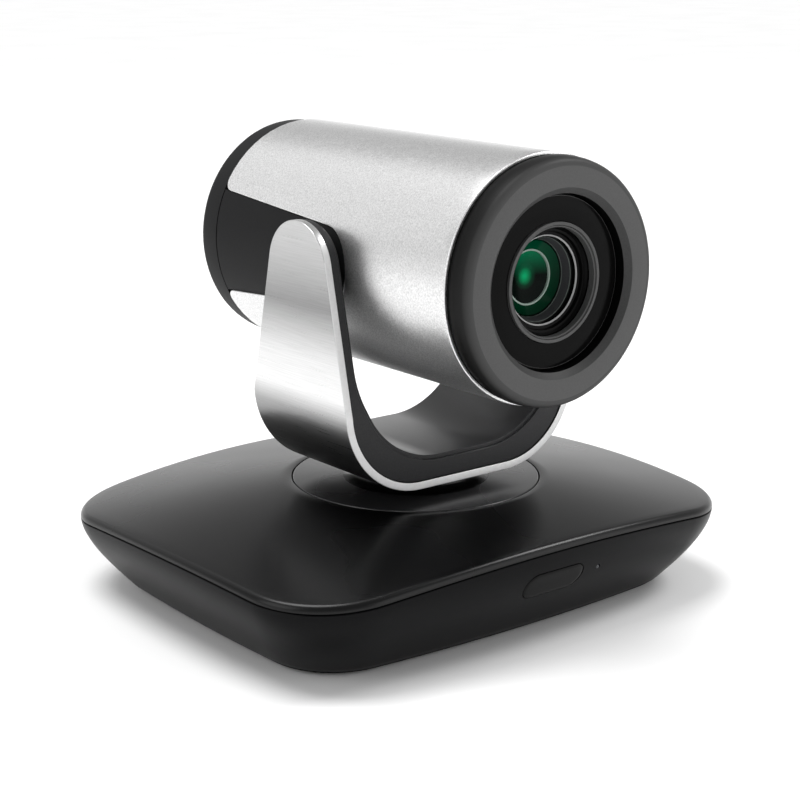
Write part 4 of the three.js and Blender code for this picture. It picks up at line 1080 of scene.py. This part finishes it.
def shell_edge(corner=3.0):
    """(y, z) points of the shell's rear edge from its top down to the notch's front.

    They run along the rear, round the corner, along the notch and round its front end.
    """
    lean = NOTCH_LEAN
    line = [(SHELL_REAR_Y, SHELL_R * math.cos(math.radians(5.8 * k))) for k in range(10)]
    # corner between the rear edge and the notch's slanted side
    half_angle = (math.pi / 2 + lean) / 2
    reach = corner / math.tan(half_angle)
    corner_z = NOTCH_REAR_HALF + NOTCH_R / math.cos(lean) - NOTCH_R
    centre = (SHELL_REAR_Y - corner, corner_z + reach)
    steps = 8
    for k in range(steps + 1):
        angle = -(math.pi / 2 - lean) * k / steps
        line.append((centre[0] + corner * math.cos(angle), centre[1] + corner * math.sin(angle)))
    start_y = line[-1][0]
    end_y = -NOTCH_R * math.sin(lean)
    for k in range(1, 24):
        y = start_y + (end_y - start_y) * k / 24
        line.append((y, notch_half(y)))
    for k in range(25):
        angle = math.pi / 2 + lean + (math.pi / 2 - lean) * k / 24
        line.append((NOTCH_R * math.cos(angle), NOTCH_R * math.sin(angle)))
    return line


def offset_line(line, distance):
    """The open line of (y, angle*R) points moved sideways by a distance."""
    moved = []
    for i, (a, b) in enumerate(line):
        before = line[max(i - 1, 0)]
        after = line[min(i + 1, len(line) - 1)]
        along = Vector((after[0] - before[0], after[1] - before[1])).normalized()
        moved.append((a + along.y * distance, b - along.x * distance))
    return moved


def barrel_shell():
    """Silver sleeve with a wedge-shaped notch at each side and rolled edges."""
    edge = 0.3
    line = [(y, math.acos(min(1, z / SHELL_R)) * SHELL_R) for y, z in shell_edge()]
    rounding = 4
    sections = []
    for k in range(rounding + 1):
        angle = math.pi / 2 * k / rounding
        sections.append((edge * (1 - math.sin(angle)), SHELL_R - edge * (1 - math.cos(angle))))
    rows_along = 18
    front = RING_BACK_Y + GAP
    front_rows = [(front + pulled, radius) for pulled, radius in reversed(sections)]
    inset_line = offset_line(line, -edge)
    columns = []
    for i in range(len(line)):
        column = [(front, SHELL_R - SHELL_T, line[i][1])]
        column += [(y, radius, line[i][1]) for y, radius in front_rows]
        target_y, target_s = inset_line[i]
        for k in range(1, rows_along + 1):
            share = k / rows_along
            y = front + edge + (target_y - front - edge) * share
            s = line[i][1] + (target_s - line[i][1]) * share
            column.append((y, SHELL_R, s))
        for pulled, radius in reversed(sections):
            share = 1 - pulled / edge
            y = target_y + (line[i][0] - target_y) * share
            s = target_s + (line[i][1] - target_s) * share
            column.append((y, radius, s))
        column.append((line[i][0], SHELL_R - SHELL_T, line[i][1]))
        columns.append(column)

    def place(y, radius, s, flip_x, flip_z):
        angle = s / SHELL_R
        return BARREL + Vector((flip_x * radius * math.sin(angle), y, flip_z * radius * math.cos(angle)))

    points = []
    faces = []
    count = len(columns[0])
    for flip_x in (1, -1):
        for flip_z in (1, -1):
            start = len(points)
            for column in columns:
                points += [place(y, radius, s, flip_x, flip_z) for y, radius, s in column]
            for i in range(len(columns) - 1):
                for k in range(count):
                    m = (k + 1) % count
                    a = start + i * count
                    b = start + (i + 1) * count
                    faces.append((a + k, a + m, b + m, b + k))
    obj = build("silver_sleeve", points, faces, ["silver_paint"], sharp_deg=50)
    return stand_for(obj, "barrel_shell")


def side_panel(node, side):
    """Dark wedge that fills a notch, just below the sleeve's surface."""
    radius = SHELL_R - 0.45
    inner = SHELL_R - SHELL_T
    gap = 0.25
    round_end = NOTCH_R - gap
    thinnest = 0.02
    stations = []
    for k in range(20):
        angle = math.pi / 2 * k / 20
        stations.append(-round_end * math.cos(angle))
    stations += [SHELL_REAR_Y * k / 24 for k in range(25)]
    across = 16
    points = []
    for y in stations:
        if y < 0:
            half = math.sqrt(max(round_end ** 2 - y * y, thinnest ** 2))
        else:
            half = notch_half(y) - gap
        for depth in (radius, inner):
            for k in range(across + 1):
                z = half * (1 - 2 * k / across)
                angle = math.asin(z / radius)
                points.append(BARREL + Vector((side * depth * math.cos(angle), y, depth * math.sin(angle))))
    row = 2 * (across + 1)
    faces = []
    for i in range(len(stations) - 1):
        a = i * row
        b = a + row
        for k in range(across):
            faces.append((a + k, a + k + 1, b + k + 1, b + k))
            c = across + 1 + k
            faces.append((a + c, a + c + 1, b + c + 1, b + c))
        for k in (0, across):
            faces.append((a + k, b + k, b + k + across + 1, a + k + across + 1))
    for a in (0, (len(stations) - 1) * row):
        for k in range(across):
            faces.append((a + k, a + k + 1, a + k + 2 + across, a + k + 1 + across))
    obj = build(node + "_wedge", points, faces, ["dark_plastic"])
    return stand_for(obj, node)


def rear_cap():
    front = SHELL_REAR_Y + GAP
    profile = [
        (0, CAP_REAR_Y),
        (SHELL_R - 0.7, CAP_REAR_Y, 2.8),
        (SHELL_R - 0.5, front, 0.15),
        (SPIGOT_R, front),
        (SPIGOT_R, front - 4, 0.3),
        (SPIGOT_R - 1.6, front - 4, 0.3),
        (SPIGOT_R - 1.6, CAP_REAR_Y - 2.4),
        (0, CAP_REAR_Y - 2.4),
    ]
    return stand_for(turned("tail_cap", profile, ["dark_plastic"]), "rear_cap")


def from_face(centre):
    """Distance from the optical axis and depth behind the bezel's face."""
    return math.hypot(centre.x, centre.z - BARREL.z), centre.y - BARREL.y - FACE_Y


def front_ring():
    """Bezel: dark rounded side, flat grey face, chamfer, seat for the lens plate, and spigot."""
    seat = FACE_Y + PLATE_DEPTH + LENS_PLATE_T + GAP
    profile = [
        (SPIGOT_R, RING_BACK_Y),
        (RING_BACK_R, RING_BACK_Y, 0.25),
        (RING_BACK_R - 0.03, RING_BACK_Y - 2),
        (RING_BACK_R - 0.18, RING_BACK_Y - 4),
        (RING_FACE_R + 0.6, FACE_Y, 1.9),
        (FACE_HOLE_R, FACE_Y, 0.12),
        (PLATE_R + 0.55, FACE_Y + 1.4, 0.08),
        (PLATE_R + 0.5, seat),
        (PLATE_R - 1.5, seat),
        (PLATE_R - 1.5, seat + 2),
        (SPIGOT_R - 1.8, seat + 2),
        (SPIGOT_R - 1.8, RING_BACK_Y + 4),
        (SPIGOT_R, RING_BACK_Y + 4, 0.3),
    ]

    def look_of(centre, _normal):
        radius, depth = from_face(centre)
        # The rounded side gets the bezel_side look, which has painted shade at the back and a painted
        # highlight at the front edge.
        if radius > RING_FACE_R - 1.2:
            return 1
        if depth > 1.45:
            return 2
        return 3 if radius < FACE_HOLE_R - 0.06 else 0

    looks = ["bezel_grey", "bezel_side", "throat_black", "bezel_chamfer"]
    return stand_for(turned("bezel", profile, looks, look_of=look_of), "front_ring")


def lens_plate():
    front = FACE_Y + PLATE_DEPTH
    profile = [
        (TRIM_R + 0.2, front),
        (PLATE_R, front, 0.22),
        (PLATE_R, front + LENS_PLATE_T),
        (TRIM_R + 0.2, front + LENS_PLATE_T),
    ]

    # The plate's rounded front edge takes the grey bezel look as a painted highlight line on the black plate.
    def look_of(centre, normal):
        radius, _depth = from_face(centre)
        return 1 if radius > PLATE_R - 0.2 and normal.y < -0.05 else 0

    obj = turned("plate", profile, ["gloss_black", "bezel_grey"], look_of=look_of)
    return stand_for(obj, "lens_plate")


def lens_trim_ring():
    """Narrow ring in two steps with a fine groove between them."""
    front = FACE_Y + PLATE_DEPTH - 0.6
    back = FACE_Y + PLATE_DEPTH + 1.5
    groove = TRIM_HOLE_R + 0.5
    profile = [
        (TRIM_R, front, 0.08),
        (TRIM_R, back),
        (TRIM_HOLE_R, back),
        (TRIM_HOLE_R, front + 0.35, 0.08),
        (groove - 0.1, front + 0.35, 0.05),
        (groove, front + 0.6),
        (groove + 0.1, front, 0.05),
    ]
    return stand_for(turned("trim_ring", profile, ["bezel_grey"]), "lens_trim_ring")


def lens_barrel():
    """Optics tube whose throat narrows in steps to a dark cone round the front lens."""
    throat = [(12.9, 5.3), (12.5, 5.9), (11.95, 6.0, 0.05), (11.7, 6.8), (10.95, 6.9), (10.6, 7.15, 0.05),
              (10.5, 8.2), (10.25, 8.4, 0.04), (10.17, 8.6), (9.49, 10.64), (9.4, 10.9)]
    profile = [(TUBE_R, TUBE_REAR_Y), (TUBE_R, TUBE_FRONT_Y, 0.3)]
    profile += [(point[0], FACE_Y + point[1], *point[2:]) for point in throat]
    profile += [(9.4, FACE_Y + 15.9), (LENS_R - 1, FACE_Y + 15.9), (LENS_R - 1, FACE_Y + 21),
                (15.5, FACE_Y + 21), (15.5, TUBE_REAR_Y - 2), (5.5, TUBE_REAR_Y - 2), (5.5, TUBE_REAR_Y)]

    def look_of(centre, _normal):
        radius, depth = from_face(centre)
        if 6.85 < depth < 7.2 and 10.6 < radius < 11:
            return 1
        if 8.35 < depth < 8.62 and radius < 10.3 or 10.62 < depth < 10.95 and radius < 9.6:
            return 3
        return 2 if 8.35 < depth < 11 and radius < 10.3 else 0

    looks = ["throat_black", "step_ring", "throat_cone", "fine_ring"]
    obj = turned("optics_tube", profile, looks, look_of=look_of)
    return stand_for(obj, "lens_barrel")


def front_lens():
    """Coated front element: dark green collar, pale retaining ring and the deep green middle, whose bright
    green spot is a painted reflection.
    """
    back = FACE_Y + 14.6
    edge = FACE_Y + 11
    ring_r = 6.85
    ring_y = FACE_Y + 12.1
    profile = [
        (0, back),
        (LENS_R - 0.25, back),
        (LENS_R - 0.25, edge + 0.1),
        (LENS_R - 0.35, edge),
        (8.3, edge + 0.45),
        (ring_r + 0.05, ring_y + 0.1),
        (ring_r, ring_y - 0.1, 0.05),
        (ring_r - 0.42, ring_y - 0.1, 0.05),
        (ring_r - 0.47, ring_y + 0.4),
    ]
    bowl = 1.1
    steps = 12
    for k in range(steps, -1, -1):
        share = k / steps
        profile.append(((ring_r - 0.5) * share, ring_y + 0.45 + bowl * (1 - share ** 2)))

    def look_of(centre, _normal):
        radius, _depth = from_face(centre)
        if radius > ring_r:
            return 0
        return 1 if radius > ring_r - 0.45 else 2

    looks = ["coated_glass", "lens_ring", "lens_deep"]
    obj = turned("front_element", profile, looks, look_of=look_of)
    return stand_for(obj, "front_lens")


# ---- studio -----------------------------------------------------------------------------------

LAMP_AIM = Vector((0, 0, 0.07))


def area_light(name, place, size, power):
    """A lamp aimed at the middle of the object."""
    data = bpy.data.lights.new(name, "AREA")
    data.shape = "RECTANGLE"
    data.size = size[0]
    data.size_y = size[1]
    data.energy = power
    light = bpy.data.objects.new(name, data)
    light.location = place
    light.rotation_euler = (LAMP_AIM - Vector(place)).to_track_quat("-Z", "Y").to_euler()
    bpy.context.scene.collection.objects.link(light)


def studio_floor():
    """Plain pale floor that reaches past every view's horizon."""
    mesh = bpy.data.meshes.new("floor")
    reach = 15.0
    corners = [(-reach, -reach, 0), (reach, -reach, 0), (reach, reach, 0), (-reach, reach, 0)]
    mesh.from_pydata(corners, [], [(0, 1, 2, 3)])
    floor = bpy.data.objects.new("floor", mesh)
    bpy.context.scene.collection.objects.link(floor)
    paper = Paint("floor_paper", rough=0.9, specular=0.1)
    paper.mottled(paper.noise(0.01, 2), "#f4f4f4", "#f8f8f8")
    mesh.materials.append(paper.material)


def surroundings():
    """White world, brightest at the horizon and dimmer higher up."""
    horizon_strength = 1.0
    upper_strength = 0.45
    upper_from = 0.4
    world = bpy.data.worlds.new("surroundings")
    world.use_nodes = True
    nodes = world.node_tree.nodes
    links = world.node_tree.links
    background = nodes["Background"]
    background.inputs["Color"].default_value = (1, 1, 1, 1)
    apart = nodes.new("ShaderNodeSeparateXYZ")
    rise = nodes.new("ShaderNodeMapRange")
    rise.inputs["From Max"].default_value = upper_from
    rise.inputs["To Min"].default_value = horizon_strength
    rise.inputs["To Max"].default_value = upper_strength
    links.new(nodes.new("ShaderNodeTexCoord").outputs["Generated"], apart.inputs["Vector"])
    links.new(apart.outputs["Z"], rise.inputs["Value"])
    links.new(rise.outputs["Result"], background.inputs["Strength"])
    bpy.context.scene.world = world


def lamps():
    """One broad lamp overhead and large soft ones round the object; sizes in metres, power in watts."""
    sun = bpy.data.lights.new("overhead", "SUN")
    sun.energy = 2.0
    sun.angle = math.radians(32)
    overhead = bpy.data.objects.new("overhead", sun)
    overhead.rotation_euler = Vector((0.15, -0.25, -1)).to_track_quat("-Z", "Y").to_euler()
    bpy.context.scene.collection.objects.link(overhead)
    area_light("left", (-0.9, 0.1, 0.5), (0.6, 0.6), 2)
    area_light("front", (0.5, -1.0, 0.3), (1.1, 0.8), 3.2)
    area_light("rim_right", (0.7, -0.3, 0.85), (0.35, 0.35), 5)
    area_light("horizon", (0.9, 1.2, 0.24), (2.2, 0.3), 1.2)
    area_light("rim_back", (-0.3, 0.85, 0.75), (0.9, 0.9), 1.2)


def camera():
    """Camera at the photograph's angle: about 38 degrees round to the left, looking slightly down."""
    data = bpy.data.cameras.new("view")
    data.angle = math.radians(25.1)
    data.clip_start = 0.01
    view = bpy.data.objects.new("view", data)
    yaw = math.radians(-38.23)
    pitch = math.radians(14.57)
    forward = Vector((-math.sin(yaw) * math.cos(pitch), math.cos(yaw) * math.cos(pitch), -math.sin(pitch)))
    view.location = Vector((-287.3, -366.0, 171.0)) * MM
    view.rotation_euler = forward.to_track_quat("-Z", "Y").to_euler()
    bpy.context.scene.collection.objects.link(view)
    bpy.context.scene.camera = view


# ---- assembly ---------------------------------------------------------------------------------

camera()
studio_floor()
surroundings()
lamps()
bare_frame()

base_lower_shell()
base_top_cover()
ir_window()
status_led()
tripod_bush()
connector_panel()
round_socket("power_jack", POWER_X, 3.1, 2.6, 0.9)
round_socket("control_port", CONTROL_X, 2.7, 1.8, 0)
usb_port()
hdmi_port()
for foot, (foot_x, foot_y) in FEET.items():
    foot_pad(foot, foot_x, foot_y)
for screw, (screw_x, screw_y) in SCREWS.items():
    base_screw(screw, screw_x, screw_y)

turntable()
yoke_band()
yoke_frame()
trunnion("trunnion_left", -1)
trunnion("trunnion_right", 1)

barrel_shell()
side_panel("side_panel_left", -1)
side_panel("side_panel_right", 1)
rear_cap()
front_ring()
lens_plate()
lens_trim_ring()
lens_barrel()
front_lens()

bpy.context.scene.view_settings.view_transform = "Standard"
